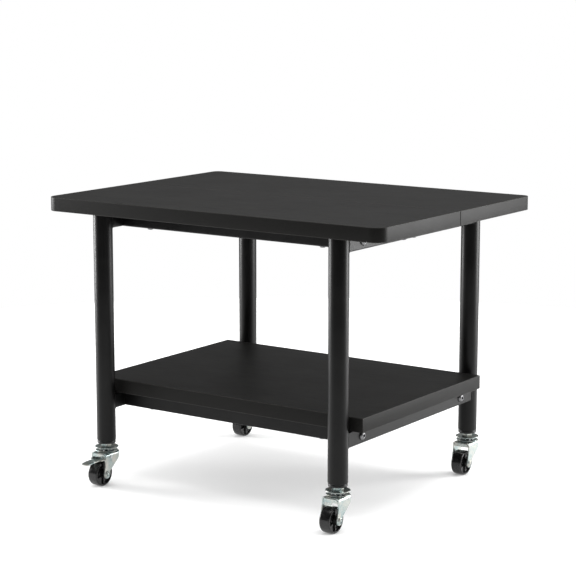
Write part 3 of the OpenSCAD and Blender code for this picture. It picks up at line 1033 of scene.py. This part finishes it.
@dataclass
class Legs:
    """Four round tubes with welded side rails and bolted cross rails."""

    wall: float = 1.2
    end_round: float = 0.45
    bead: float = 0.8
    bead_clear: float = 1.4
    taper: float = 14.0

    def build(self) -> None:
        """Makes the tubes and the weld beads."""
        for corner in Corner:
            low, high = millimetres(corner.node("leg"))
            outer = corner.half_width("leg")
            section = fillet(
                [
                    (outer, low.z, self.end_round), (outer, high.z, 0.1), (outer - self.wall, high.z, 0.1),
                    (outer - self.wall, low.z, self.end_round),
                ],
                closed=True, steps=4,
            )
            centre = corner.centre()
            tube = moved(turned(section, True, 96), Matrix.Translation((centre.x, centre.y, 0)))
            attach(piece(corner.node("tube"), tube, POWDER), STAND, POWDER, corner.node("leg"))
        self.weld()

    def weld(self) -> None:
        """Runs a rippled bead down both sides and along the bottom of every rail end."""
        recipe = GeometryRecipe("weld_bead", {"Bead Radius": self.bead, "Ripple Pitch": 1.15, "Step": 0.22})
        sheet = recipe.sheet
        path = sheet.make("GeometryNodeMeshToCurve", {"Mesh": recipe.inputs})
        fine = sheet.make(
            "GeometryNodeResampleCurve", {"Curve": path, "Length": recipe.size("Step")}, mode="LENGTH"
        )
        run = sheet.make("GeometryNodeSplineParameter", output="Length")
        wave = abs(run.maths("SINE", run / recipe.size("Ripple Pitch") * math.pi))
        share = sheet.make("GeometryNodeSplineParameter", output="Factor")
        start, stop = share * self.taper, (1.0 - share) * self.taper
        ends = start.maths("MINIMUM", start, 1.0) * stop.maths("MINIMUM", stop, 1.0)
        ring = sheet.make(
            "GeometryNodeCurvePrimitiveCircle", {"Resolution": 9, "Radius": recipe.size("Bead Radius")}
        )
        recipe.close(
            sheet.make(
                "GeometryNodeCurveToMesh",
                {
                    "Curve": fine, "Profile Curve": ring,
                    "Scale": (0.82 + wave * 0.22) * (0.35 + ends * 0.65), "Fill Caps": True,
                },
            )
        )
        points: list[Vector] = []
        edges: list[tuple[int, int]] = []
        for corner in Corner:
            side = corner.value.rsplit("_", 1)[1]
            for level in ("top", "lower"):
                line = self.seam(corner, f"{level}_{side}_rail")
                start = len(points)
                points += line
                edges += [(start + k, start + k + 1) for k in range(len(line) - 1)]
        paths = raw_mesh("weld_paths", (points, []), edges)
        attach(recipe.run("rail_weld_beads", paths, POWDER, 60.0), STAND, POWDER)

    def seam(self, corner: Corner, rail: str) -> list[Vector]:
        """The line where a side rail meets a leg, without the side under the board.

        Args:
            corner: The leg's corner.
            rail: The rail's CAD node.

        Returns:
            Points in millimetres.
        """
        low, high = millimetres(rail)
        centre, radius = corner.centre(), corner.half_width("leg")
        towards = 1.0 if centre.y < (low.y + high.y) / 2 else -1.0
        drawing = fillet(
            [
                (low.x, high.z - self.bead_clear, 0), (low.x, low.z, 2.0), (high.x, low.z, 2.0),
                (high.x, high.z - self.bead_clear, 0),
            ],
            closed=False,
        )
        fine: list[Point2] = []
        for (x0, z0), (x1, z1) in zip(drawing, drawing[1:]):
            pieces = max(1, round(math.hypot(x1 - x0, z1 - z0)))
            fine += [(x0 + (x1 - x0) * k / pieces, z0 + (z1 - z0) * k / pieces) for k in range(pieces)]
        fine.append(drawing[-1])
        return [
            Vector((x, centre.y + towards * math.sqrt(radius**2 - (x - centre.x) ** 2), z)) for x, z in fine
        ]


@dataclass
class Fasteners:
    """Rail bolts, board screws, leg plugs and lock nuts."""

    bolt_radius: float = 5.25
    bolt_head: float = 3.3
    bolt_length: float = 34.0
    screw_radius: float = 4.0
    screw_head: float = 2.6
    screw_length: float = 33.0
    screw_inset: float = 38.0
    seam_screw: float = 12.0
    nut_apothem: float = 6.5
    nut_bore: float = 4.0
    nut_chamfer_slope: float = 0.5
    plug_radius: float = 12.1
    plug_body: float = 11.25
    plug_bore: float = 4.05

    def build(self) -> None:
        """Makes every set of fasteners."""
        self.bolts()
        self.screws()
        self.nuts()
        self.plugs()

    @staticmethod
    def set_out(
        recipe: GeometryRecipe, name: str, spots: list[tuple[Vector, Vector]], finish: Finish, sharp: float,
        node: str,
    ) -> None:
        """Runs a recipe on some points and hands the whole set over.

        Args:
            recipe: The recipe of one fastener.
            name: The piece's name.
            spots: Each point in millimetres with its turn.
            finish: What the set is covered with.
            sharp: Edges that turn by more than this many degrees stay sharp.
            node: The CAD node that the set stands for.
        """
        attach(recipe.run(name, seed_points(name + "_spots", spots), finish, sharp), STAND, finish, node)

    @staticmethod
    def under_legs(height: float, turn: float = 0.0) -> list[tuple[Vector, Vector]]:
        """A point on every leg's axis, each turned by one more turn than the last."""
        centres = [corner.centre() for corner in Corner]
        return [(Vector((c.x, c.y, height)), Vector((0, 0, turn * k))) for k, c in enumerate(centres)]

    def bolts(self) -> None:
        """Button-head bolts with a hex socket, one at each end of every cross rail."""
        _, outer = millimetres("top_right_rail")
        spots = []
        for rail in ("top_front_rail", "top_back_rail", "lower_front_rail", "lower_back_rail"):
            middle = sum(millimetres(rail), Vector()) / 2
            for way in (-1.0, 1.0):
                turn = Vector((0.0, way * math.radians(90), 0.0))
                spots.append((Vector((way * outer.x, middle.y, middle.z)), turn))
        dome = [
            (0.52, 0.97), (0.66, 0.88), (0.80, 0.72), (0.92, 0.47), (0.985, 0.22), (1.0, 0.12), (0.985, 0.0)
        ]
        socket = (2.0 / self.bolt_radius, 2.0 / self.bolt_head)
        shank = (3.0 / self.bolt_radius, self.bolt_length / self.bolt_head)
        recipe = turned_on_points(
            "button_bolt", fastener_section(dome, socket, shank), self.bolt_radius, self.bolt_head,
            Figure.HEX,
        )
        self.set_out(recipe, "rail_bolt_set", spots, SCREW_STEEL, 38.0, "rail_bolts")

    def screws(self) -> None:
        """Pan-head screws with a crossed recess, from below into the boards."""
        pan = [(0.55, 0.99), (0.72, 0.93), (0.86, 0.80), (0.95, 0.58), (1.0, 0.30), (1.0, 0.06), (0.985, 0.0)]
        shank = (2.0 / self.screw_radius, self.screw_length / self.screw_head)
        recipe = turned_on_points(
            "pan_screw", fastener_section(pan, (0.46, 0.55), shank), self.screw_radius, self.screw_head,
            Figure.CROSS,
        )
        flat = Vector((math.radians(180), 0.0, 0.0))
        for name, node, level in (
            ("top_screw_set", "top_screws", "top"), ("shelf_screw_set", "shelf_screws", "lower")
        ):
            spots = []
            for place in ("front", "back"):
                low, high = millimetres(f"{level}_{place}_rail")
                for x in (low.x + self.screw_inset, high.x - self.screw_inset):
                    spots.append((Vector((x, (low.y + high.y) / 2, low.z)), flat))
            if level == "top":
                for side in ("left", "right"):
                    low, high = millimetres(f"top_{side}_rail")
                    middle = (low + high) / 2
                    for way in (-1.0, 1.0):
                        spots.append((Vector((middle.x, middle.y + way * self.seam_screw, low.z)), flat))
            turns = [(spot, turn + Vector((0, 0, 0.4 * k))) for k, (spot, turn) in enumerate(spots)]
            self.set_out(recipe, name, turns, SCREW_STEEL, 38.0, node)

    def nuts(self) -> None:
        """Hex lock nuts with chamfered corners, between the casters and the leg plugs."""
        low, high = millimetres("caster_lock_nuts")
        bore = self.nut_bore / self.nut_apothem
        section = [
            (bore, 0.06, 0.0), (bore + 0.06, 0.0, 0.0), (0.97, 0.0, 0.0), (1.0, 0.02, 1.0), (1.0, 0.98, 1.0),
            (0.97, 1.0, 0.0), (bore + 0.06, 1.0, 0.0), (bore, 0.94, 0.0), (bore, 0.06, 0.0),
        ]
        recipe = turned_on_points(
            "lock_nut", section, self.nut_apothem, high.z - low.z, Figure.HEX,
            corner_drop=self.nut_chamfer_slope,
        )
        self.set_out(recipe, "lock_nut_set", self.under_legs(low.z, 0.35), ZINC, 30.0, "caster_lock_nuts")

    def plugs(self) -> None:
        """Moulded plugs that close the legs: a cap with a small shadow line and ribs above it."""
        low, high = millimetres("leg_plugs")
        leg_low, _ = millimetres("front_left_leg")
        tall = high.z - low.z
        cap = (leg_low.z - low.z) / tall
        bore, body = self.plug_bore / self.plug_radius, self.plug_body / self.plug_radius
        drawing = [
            (bore, 0.0), (0.94, 0.0), (0.975, 0.005), (0.993, 0.014), (1.0, 0.03), (1.0, cap - 0.058),
            (0.985, cap - 0.044), (body, cap - 0.040), (body, cap),
        ]
        for k in range(4):
            foot = cap + (1 - cap) * (0.10 + 0.2 * k)
            drawing += [(body, foot), (body - 0.03, foot + 0.02), (body - 0.03, foot + 0.09)]
        drawing += [(body - 0.02, 0.97), (body - 0.10, 1.0), (bore, 1.0), (bore, 0.0)]
        section = [(r, h, 0.0) for r, h in drawing]
        recipe = turned_on_points("leg_plug", section, self.plug_radius, tall, steps=64)
        self.set_out(recipe, "leg_plug_set", self.under_legs(low.z), PLUG, 38.0, "leg_plugs")


# ---------------------------------------------------------------- casters


@dataclass
class Swivel:
    """The dished washer on the stand's side of the balls, and the race ring on the fork's."""

    corner: Corner
    bore: float = 4.0
    floor: float = 9.5
    sheet: float = 1.2
    race_floor: float = 0.8
    race_bore: float = 6.0

    def build(self) -> None:
        """Turns both rings."""
        rim, z, top = self.limits("dish")
        t, bore, floor = self.sheet, self.bore, self.floor
        dish = [
            (bore, z, 0.1), (floor, z, 2.0), (rim - 1.6, top - 1.35, 1.2), (rim, top - 0.95, 0.35),
            (rim, top, 0.45), (rim - t, top, 0.45), (rim - t - 0.9, top - 0.55, 1.0),
            (floor - 0.6, z + t, 2.0), (bore, z + t, 0.1),
        ]
        self.ring(dish, "dished_washer", STAND, "dish")
        rim, z, top = self.limits("race")
        t, bore = self.race_floor, self.race_bore
        race = [
            (bore, z, 0.1), (rim - 4.2, z, 1.5), (rim - 1.0, z + 0.75, 1.2), (rim, top - 0.75, 0.4),
            (rim, top, 0.4), (rim - 1.1, top, 0.4), (rim - 1.9, z + t + 0.35, 0.8), (rim - 4.6, z + t, 1.0),
            (bore, z + t, 0.1),
        ]
        self.ring(race, "race_ring", self.corner.node("swivel"), "race")

    def limits(self, part: str) -> Point3:
        """A ring node's outer radius, lowest height and highest height."""
        low, high = millimetres(self.corner.node(part))
        return (high.x - low.x) / 2, low.z, high.z

    def ring(self, corners: Sequence[Point3], name: str, body: str, part: str) -> None:
        """Turns one ring.

        Args:
            corners: Its section's corners as (radius, height, rounding).
            name: The piece's name without its corner.
            body: The CAD body that it moves with.
            part: The CAD node that it stands for, without its corner.
        """
        centre = self.corner.centre()
        place = Matrix.Translation((centre.x, centre.y, 0))
        shape = moved(turned(fillet(corners, closed=True), True, 80), place)
        attach(piece(self.corner.node(name), shape, ZINC, 45.0), body, ZINC, self.corner.node(part))


@dataclass
class Fork:
    """A fork bent from one sheet: a plate, two tapering arms and a lip along its front."""

    corner: Corner
    sheet: float = 1.8
    bend: float = 3.0
    front: float = 16.0
    plate_round: float = 16.0
    lip: float = 6.0
    lip_bend: float = 2.0
    lip_half: float = 9.1
    knee: float = 9.0
    tip: float = 5.7
    lean: float = 30.0
    edge: float = 0.28
    rows: int = 11

    def build(self) -> None:
        """Makes the fork's outer side as one grid and gives it the sheet's thickness."""
        low, high = millimetres(self.corner.node("fork"))
        axle = self.corner.centre("axle")
        stem = self.corner.centre()
        half, top = (high.x - low.x) / 2, high.z
        reach = axle.y - stem.y
        side_front, side_back = self.arm_edges(half, top, reach, axle.z)
        stations = self.stations(half, top, axle.z, side_front, side_back)
        points: list[Vector] = []
        faces: list[tuple[int, ...]] = []
        for x, z, front, back in stations:
            first = min(self.lip_bend, 0.25 * (back - front))
            for j in range(self.rows):
                share = max(0.0, (j - 1) / (self.rows - 2))
                y = front if j == 0 else front + first + (back - front - first) * share
                points.append(Vector((stem.x + x, stem.y + y, z)))
        for i in range(len(stations) - 1):
            under_lip = max(abs(stations[i][0]), abs(stations[i + 1][0])) <= self.lip_half + 0.01
            for j in range(1 if under_lip else 0, self.rows - 1):
                a, b = i * self.rows + j, (i + 1) * self.rows + j
                faces.append((a, b, b + 1, a + 1))
        lip = self.lip_mesh(stations, stem, top)
        made = piece(self.corner.node("fork_sheet"), joined([(points, faces), lip]), ZINC, 60.0)
        self.face_up(made)
        sheet_metal(made, self.sheet, self.edge)
        attach(made, self.corner.node("swivel"), ZINC, self.corner.node("fork"))

    def arm_edges(
        self, half: float, top: float, reach: float, axle_z: float
    ) -> tuple[list[Point2], list[Point2]]:
        """The arm's front and back edges.

        Args:
            half: Half of the fork's width.
            top: The height of its plate.
            reach: The axle's place behind the stem, along Y.
            axle_z: The axle's height.

        Returns:
            Both edges as (z, y) measured from the stem.
        """
        tip = self.tip
        back_top = math.sqrt(self.plate_round**2 - half**2)
        knee_z = top - self.knee
        lean = math.radians(self.lean)
        edge_front = fillet(
            [(top, -self.front, 0), (knee_z, -self.front, 10.0), (axle_z, reach - tip, 0)], False, 6
        )
        edge_back = fillet(
            [
                (top, back_top, 0), (knee_z, back_top, 6.0),
                (axle_z + tip * math.sin(lean), reach + tip * math.cos(lean), 0),
            ],
            False, 8,
        )
        edge_front += [(axle_z - tip * math.sin(a), reach - tip * math.cos(a)) for a in arc(0, 90, 12)]
        edge_back += [
            (axle_z + tip * math.sin(a), reach + tip * math.cos(a)) for a in arc(self.lean, -90, 16)
        ]
        return edge_front, edge_back

    def stations(
        self, half: float, top: float, axle_z: float, side_front: list[Point2], side_back: list[Point2]
    ) -> list[Line]:
        """Lines across the sheet from the left arm's tip to the right arm's.

        Args:
            half: Half of the fork's width.
            top: The height of its plate.
            axle_z: The axle's height.
            side_front: The arm's front edge as (z, y).
            side_back: The arm's back edge as (z, y).

        Returns:
            Each line's x, z, front y and back y.
        """
        flat = half - self.bend

        def plate_back(x: float) -> float:
            """The rounded back of the plate."""
            return math.sqrt(self.plate_round**2 - x**2)

        bent = top - self.bend
        over = [(x, top) for x in (0.0, 3.0, 6.0, self.lip_half, flat)]
        over += [(flat + self.bend * math.sin(a), bent + self.bend * math.cos(a)) for a in arc(0, 90, 6)]
        right = [(x, z, -self.front, plate_back(x)) for x, z in over]
        heights = [bent - (bent - axle_z) * k / 14 for k in range(1, 15)]
        heights += [axle_z - self.tip + self.tip * (1 - math.sin(a)) for a in arc(0, 90, 9)]
        right += [(half, z, along(side_front, z), along(side_back, z)) for z in heights]
        left = [(-x, z, front, back) for x, z, front, back in reversed(right[1:])]
        return left + right

    def lip_mesh(self, stations: list[Line], stem: Vector, top: float) -> Mesh3:
        """The lip that is bent down from the plate's front edge.

        Args:
            stations: The lines across the sheet.
            stem: The middle of the leg above, which gives x and y.
            top: The height of the plate.

        Returns:
            Points and faces.
        """
        lines = [x for x, _, _, _ in stations if abs(x) <= self.lip_half + 0.01]
        bend = self.lip_bend
        drops = [
            (-self.front + bend - bend * math.sin(a), top - bend + bend * math.cos(a), 0.0)
            for a in (0.0, *arc(0, 90, 5))
        ]
        falls = ((3.0, 0.6), (3.8, 1.1), (4.8, 1.2), (5.5, 1.15), (self.lip, 0.75))
        drops += [(-self.front, top - fall, spread) for fall, spread in falls]
        points = [
            Vector((stem.x + x * (1 + spread / self.lip_half), stem.y + y, z))
            for y, z, spread in drops
            for x in lines
        ]
        count = len(lines)
        faces = [
            (j * count + i, j * count + i + 1, (j + 1) * count + i + 1, (j + 1) * count + i)
            for j in range(len(drops) - 1)
            for i in range(count - 1)
        ]
        return points, faces

    @staticmethod
    def face_up(made: bpy.types.Object) -> None:
        """Turns an open sheet so that its outer side faces out, judged by its highest faces.

        Args:
            made: The object with the sheet.
        """
        mesh = made.data
        highest = max(mesh.polygons, key=lambda face: face.center.z)
        if highest.normal.z < 0:
            mesh.flip_normals()


def rivet(corner: Corner, names: tuple[str, str], outer: list[Point2], finish: Finish, steps: int) -> None:
    """Turns a rivet whose two ends are alike, and lays it along X on the fork.

    Args:
        corner: The caster's corner.
        names: The piece's name and the CAD node that it stands for, both without their corner.
        outer: The skin of its right half as (radius, distance from the middle).
        finish: What it is covered with.
        steps: How many pieces the circle has.
    """
    low, high = millimetres(corner.node(names[1]))
    section = [(radius, -height) for radius, height in reversed(outer)] + outer
    shape = moved(turned(section, False, steps), Matrix.Translation((low + high) / 2) @ ALONG_X)
    made = piece(corner.node(names[0]), shape, finish, 40.0)
    attach(made, corner.node("swivel"), finish, corner.node(names[1]))


@dataclass
class Axle:
    """The rivet through both arms, with a ring groove round each bright centre."""

    corner: Corner
    shaft: float = 3.0
    head: float = 4.5

    def build(self) -> None:
        """Turns the rivet and lays it along X."""
        half, arm = self.corner.half_width("axle"), self.corner.half_width("fork")
        rise, r = half - arm, self.head
        outer = fillet(
            [
                (self.shaft, arm, 0.0), (r, arm, 0.12), (r, arm + rise * 0.34, 0.35),
                (r * 0.72, arm + rise * 0.92, 1.0), (r * 0.66, arm + rise * 0.90, 0.2),
                (r * 0.62, arm + rise * 0.10, 0.2), (r * 0.46, arm + rise * 0.10, 0.2),
                (r * 0.42, arm + rise * 0.90, 0.3), (0.0, arm + rise, 0.0),
            ],
            closed=False, steps=4,
        )
        rivet(self.corner, ("axle_rivet", "axle"), outer, ZINC, 48)


@dataclass
class Wheel:
    """A moulded wheel: crowned tread, deep recess on each side, hub and ribs."""

    corner: Corner
    crown: float = 0.12
    tread_round: float = 1.7
    rim: float = 2.6
    recess: float = 3.4
    hub: float = 5.5
    bore: float = 4.06
    half_width: float = 7.5
    ribs: int = 6

    def build(self) -> None:
        """Turns the wheel and adds its ribs."""
        low, high = millimetres(self.corner.node("wheel"))
        middle = (low + high) / 2
        radius, hub_half = (high.z - low.z) / 2, (high.x - low.x) / 2
        half = self.half_width
        floor = half - self.recess
        right = fillet(
            [
                (radius, 0.0, 0.0), (radius - self.crown, half * 0.62, 20.0),
                (radius - self.crown - 0.1, half, self.tread_round), (radius - self.rim + 0.1, half, 0.35),
                (radius - self.rim - 0.35, floor, 0.7), (self.hub + 0.35, floor, 0.7),
                (self.hub, hub_half, 0.45), (self.bore, hub_half, 0.2), (self.bore, 0.0, 0.0),
            ],
            closed=False, steps=5,
        )
        section = right + [(r, -h) for r, h in reversed(right)]
        place = Matrix.Translation(middle) @ ALONG_X
        made = piece(self.corner.node("wheel_moulding"), moved(turned(section, True, 96), place), WHEEL, 40.0)
        body = self.corner.node("roll")
        attach(made, body, WHEEL, self.corner.node("wheel"))
        self.add_ribs(middle, floor, body)

    def add_ribs(self, middle: Vector, floor: float, body: str) -> None:
        """Sets short ribs round the hub in both recesses.

        Args:
            middle: The wheel's middle.
            floor: How far the recesses' floors are from it along the axle.
            body: The CAD body that the ribs move with.
        """
        recipe = GeometryRecipe(
            self.corner.node("rib_tree"),
            {"Rib Length": 8.9, "Rib Width": 1.3, "Rib Height": 1.9, "Circle Radius": 9.7, "Floor": floor},
        )
        sheet = recipe.sheet
        circle = sheet.make(
            "GeometryNodeMeshCircle", {"Vertices": self.ribs, "Radius": recipe.size("Circle Radius")}
        )
        box = sheet.make(
            "ShaderNodeCombineXYZ",
            {0: recipe.size("Rib Length"), 1: recipe.size("Rib Width"), 2: recipe.size("Rib Height") * 2.0},
        )
        bar = sheet.make("GeometryNodeMeshCube", {"Size": box, "Vertices X": 5})
        index = sheet.make("GeometryNodeInputIndex")
        spin = sheet.make("ShaderNodeCombineXYZ", {2: index * (math.tau / self.ribs)})
        turn = sheet.make("FunctionNodeEulerToRotation", {0: spin})
        ring = sheet.make(
            "GeometryNodeInstanceOnPoints", {"Points": circle, "Instance": bar, "Rotation": turn}
        )
        sides = []
        for way in (1.0, -1.0):
            lift = sheet.make("ShaderNodeCombineXYZ", {2: recipe.size("Floor") * way})
            sides.append(sheet.make("GeometryNodeTransform", {"Geometry": ring, "Translation": lift}))
        both = sheet.make("GeometryNodeJoinGeometry", {"Geometry": sides})
        laid = sheet.make(
            "GeometryNodeTransform",
            {"Geometry": both, "Rotation": (0.0, math.radians(90), 0.0), "Translation": tuple(middle * MM)},
        )
        recipe.close(laid)
        seed = bpy.data.meshes.new("rib_seed")
        made = recipe.run(self.corner.node("wheel_ribs"), seed, WHEEL, 35.0)
        soft = made.modifiers.new("edge", "BEVEL")
        soft.width, soft.segments, soft.limit_method = 0.3 * MM, 2, "ANGLE"
        settle(made, 40.0)
        attach(made, body, WHEEL)


@dataclass
class Brake:
    """The pedal, bent from one sheet, and the pin that it turns on."""

    corner: Corner
    sheet: float = 1.2
    edge: float = 0.22
    bend: float = 1.9
    tongue_half: float = 6.5
    tip_round: float = 3.25
    wall: float = 2.4
    ear: float = 2.8
    tip_dip: float = 1.6
    dip_length: float = 14.0
    shoulder: float = -20.7
    ear_slope: float = 0.8
    first_ridge: float = 2.2
    pin_radius: float = 1.5
    pin_head: float = 2.25

    def build(self) -> None:
        """Makes the pedal and its pin."""
        low, high = millimetres(self.corner.node("pedal"))
        pin = self.corner.centre("pedal_pin")
        stem = self.corner.centre()
        half = (high.x - low.x) / 2
        front, back, base = low.y - stem.y, high.y - stem.y, low.z
        pin_y, pin_z = pin.y - stem.y, pin.z
        shoulder = self.shoulder
        flat = half - self.bend
        columns = [-flat, -self.tongue_half, -3.2, 0.0, 3.2, self.tongue_half, flat]
        points: list[Vector] = []
        faces: list[tuple[int, ...]] = []

        def add(x: float, y: float, z: float) -> int:
            """Adds a point placed from the stem and returns its number."""
            points.append(Vector((stem.x + x, stem.y + y, z)))
            return len(points) - 1

        channel: list[list[int]] = []
        for k in range(19):
            y = back + (shoulder - back) * k / 18
            wall_top = self.wall_top(y, pin_y, pin_z, base)
            right: list[Point2] = [(x, base) for x in columns if x >= 0]
            right += [
                (flat + self.bend * math.sin(a), base + self.bend * (1 - math.cos(a))) for a in arc(0, 90, 5)
            ]
            foot = base + self.bend
            right += [(half, foot + (wall_top - foot) * share / 3) for share in range(1, 4)]
            row = [(-x, z) for x, z in reversed(right[1:])] + right
            channel.append([add(x, y, z) for x, z in row])
        for near, far in zip(channel, channel[1:]):
            faces += zip(near, near[1:], far[1:], far)

        middle = len(channel[-1]) // 2
        tongue_columns = [x for x in columns if abs(x) <= self.tongue_half]
        spread = len(tongue_columns) // 2
        previous = channel[-1][middle - spread : middle + spread + 1]
        length = shoulder - front
        for k in range(1, 41):
            y = shoulder - length * k / 40
            past = max(0.0, self.tip_round - (y - front))
            narrow = self.tip_round - math.sqrt(max(self.tip_round**2 - past**2, 0.0))
            scale = (self.tongue_half - narrow) / self.tongue_half
            ridge = self.ridge(y - front)
            dip = self.tip_dip * max(0.0, 1 - (y - front) / self.dip_length)
            row = [add(x * scale, y, base + ridge - dip) for x in tongue_columns]
            faces += zip(previous, previous[1:], row[1:], row)
            previous = row
        made = piece(self.corner.node("brake_pedal"), (points, faces), ZINC, 60.0)
        if min(made.data.polygons, key=lambda face: face.center.z).normal.z > 0:
            made.data.flip_normals()
        sheet_metal(made, self.sheet, self.edge)
        attach(made, self.corner.node("brake"), ZINC, self.corner.node("pedal"))
        self.pin()

    def wall_top(self, y: float, pin_y: float, pin_z: float, base: float) -> float:
        """The top of the pedal's side wall: an ear round the pin that runs down to a low edge.

        Args:
            y: The place along the pedal.
            pin_y: The pin's place in the same measure.
            pin_z: The pin's height.
            base: The height of the pedal's underside.

        Returns:
            The wall's height there.
        """
        away = abs(y - pin_y)
        tops = [base + self.wall]
        if away <= self.ear:
            tops.append(pin_z + math.sqrt(self.ear**2 - away**2))
        if y < pin_y:
            tops.append(pin_z + self.ear - away * self.ear_slope)
        return max(tops)

    @staticmethod
    def ridge(from_tip: float, pitch: float = 2.6, height: float = 0.4, count: int = 4) -> float:
        """Grip ridges pressed up near the pedal's tip.

        Args:
            from_tip: The distance from the tip.
            pitch: The distance from one ridge to the next.
            height: How high a ridge is.
            count: How many there are.

        Returns:
            How far the sheet is raised there.
        """
        run = (from_tip - Brake.first_ridge) / pitch
        if not 0.0 < run < count:
            return 0.0
        return height * math.sin(math.pi * (run % 1.0)) ** 2

    def pin(self) -> None:
        """Turns the pin with its two flat heads."""
        half, arm = self.corner.half_width("pedal_pin"), self.corner.half_width("fork")
        pin, head = self.pin_radius, self.pin_head
        outer = fillet(
            [
                (pin, arm, 0.0), (head, arm, 0.1), (head, half, 0.3), (0.8, half, 0.1),
                (0.5, half - 0.25, 0.1), (0.0, half - 0.25, 0.0),
            ],
            closed=False,
        )
        rivet(self.corner, ("brake_pin", "pedal_pin"), outer, BARE_STEEL, 32)


@dataclass
class Caster:
    """One caster with everything that it carries."""

    corner: Corner

    def build(self) -> None:
        """Builds the swivel, fork, axle, wheel and, where it has one, the brake."""
        parts: list[Any] = [Swivel(self.corner), Fork(self.corner), Axle(self.corner), Wheel(self.corner)]
        if self.corner.braked:
            parts.append(Brake(self.corner))
        for part in parts:
            part.build()


# ---------------------------------------------------------------- nodes that keep their own shape


@dataclass
class KeptNodes:
    """CAD nodes whose shape is right and that only need a better finish."""

    finishes: tuple[tuple[str, Finish], ...] = (
        ("_rail", POWDER), ("_stem", ZINC), ("_bush", BARE_STEEL), ("swivel_balls", BARE_STEEL),
        ("plug_inserts", BARE_STEEL), ("rail_end_blocks", BARE_STEEL), ("panel_dowels", BEECH),
    )

    def dress(self) -> None:
        """Puts each finish on the nodes whose names end with its key."""
        for name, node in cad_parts.items():
            for ending, finish in self.finishes:
                if name.endswith(ending):
                    for place in node.material_slots:
                        place.material = finish.material()
                    log.info("%s keeps its shape and gets %s", name, finish.name)


# ---------------------------------------------------------------- studio


@dataclass
class SoftBox:
    """A square light that looks at a point."""

    name: str
    place: Point3
    target: Point3
    size: float
    power: float

    def build(self) -> None:
        """Makes the light."""
        data = bpy.data.lights.new(self.name, "AREA")
        data.shape, data.size, data.energy = "SQUARE", self.size, self.power
        made = shown(self.name, data)
        made.location = self.place
        aim = Vector(self.target) - Vector(self.place)
        made.rotation_euler = aim.to_track_quat("-Z", "Y").to_euler()


@dataclass
class Studio:
    """Floor, lights, surroundings and camera."""

    floor_radius: float = 1.35
    floor_lift: float = 0.12
    surround: float = 1.05
    wall_way: Point3 = (0.35, 0.94, 0.0)
    wall_glow: float = 0.30
    front_glow: float = 0.04
    camera_place: Point3 = (1.36668, -1.96501, 0.67884)
    camera_yaw: float = 34.716
    camera_down: float = 9.974
    lens: float = 116.0
    lights: tuple[SoftBox, ...] = (
        SoftBox("overhead_box", (0.05, 0.0, 2.0), (0.0, 0.0, 0.0), 1.8, 30.0),
        SoftBox("right_box", (1.22, 1.15, 0.43), (0.1, 0.0, 0.25), 0.82, 31.0),
        SoftBox("left_box", (-1.8, -0.50, 0.36), (-0.1, 0.0, 0.25), 0.64, 38.0),
    )

    def build(self) -> None:
        """Sets the whole studio up."""
        self.floor()
        for light in self.lights:
            light.build()
        self.world()
        self.camera()

    def floor(self) -> None:
        """A plain pale disc under the stand."""
        ring = fillet([(self.floor_radius * 1000, 0, 0), (self.floor_radius * 1000, -4, 0)], False)
        shape = turned([(0.0, 0.0), *ring, (0.0, -4.0)], False, 128)
        paper = bpy.data.materials.new("studio_floor")
        paper.use_nodes = True
        sheet = NodeSheet(paper.node_tree)
        tone = sheet.noise(sheet.place(), 3.0, 2.0)
        shader = sheet.make(
            "ShaderNodeBsdfPrincipled",
            {
                "Base Color": sheet.blend(tone, (0.86, 0.86, 0.86), (0.88, 0.88, 0.88)), "Roughness": 0.85,
                "Specular IOR Level": 0.1, "Emission Color": (1.0, 1.0, 1.0, 1.0),
                "Emission Strength": self.floor_lift,
            },
        )
        sheet.make("ShaderNodeOutputMaterial", {"Surface": shader})
        made = piece("studio_floor", shape, POWDER)
        made.data.materials[0] = paper

    def world(self) -> None:
        """White behind everything; a bright back wall and a dark front as shiny surfaces see it."""
        world = bpy.data.worlds.new("studio")
        bpy.context.scene.world = world
        world.use_nodes = True
        sheet = NodeSheet(world.node_tree)
        seen = sheet.make("ShaderNodeLightPath", output="Is Camera Ray")
        shiny = seen.other("Is Glossy Ray")
        way = sheet.make("ShaderNodeTexCoord", output="Generated")
        back = sheet.make(
            "ShaderNodeVectorMath", {0: way, 1: self.wall_way}, "Value", operation="DOT_PRODUCT"
        )
        wall = self.front_glow + back.step(-0.2, 0.8) * (self.wall_glow - self.front_glow)
        light = shiny * wall + (1.0 - shiny) * self.surround
        light = light * (1.0 - seen) + seen
        shader = sheet.make("ShaderNodeBackground", {"Color": (1.0, 1.0, 1.0, 1.0), "Strength": light})
        sheet.make("ShaderNodeOutputWorld", {"Surface": shader})

    def camera(self) -> None:
        """The camera, turned left by the yaw and tilted down."""
        data = bpy.data.cameras.new("camera")
        data.lens, data.sensor_width, data.clip_end = self.lens, 36.0, 50.0
        made = shown("camera", data)
        made.location = self.camera_place
        made.rotation_euler = (math.radians(90 - self.camera_down), 0.0, math.radians(self.camera_yaw))
        bpy.context.scene.camera = made
        bpy.context.scene.view_settings.view_transform = "Standard"


def main() -> None:
    """Builds the studio and then the stand, from its boards down to its casters."""
    logging.basicConfig(level=logging.INFO, format="%(name)s: %(message)s")
    Studio().build()
    KeptNodes().dress()
    Board(
        "top_front_board", "top_panel_front", "top_band_front", (0.8, 16.0, 16.0, 0.8), seam_back=0.12
    ).build()
    Board(
        "top_back_board", "top_panel_back", "top_band_back", (10.0, 0.8, 0.8, 10.0), seam_front=0.12
    ).build()
    Board("shelf", "shelf_board", "shelf_band", (0.6, 0.6, 0.6, 0.6)).build()
    Legs().build()
    Fasteners().build()
    for corner in Corner:
        Caster(corner).build()


if __name__ == "__main__":
    main()
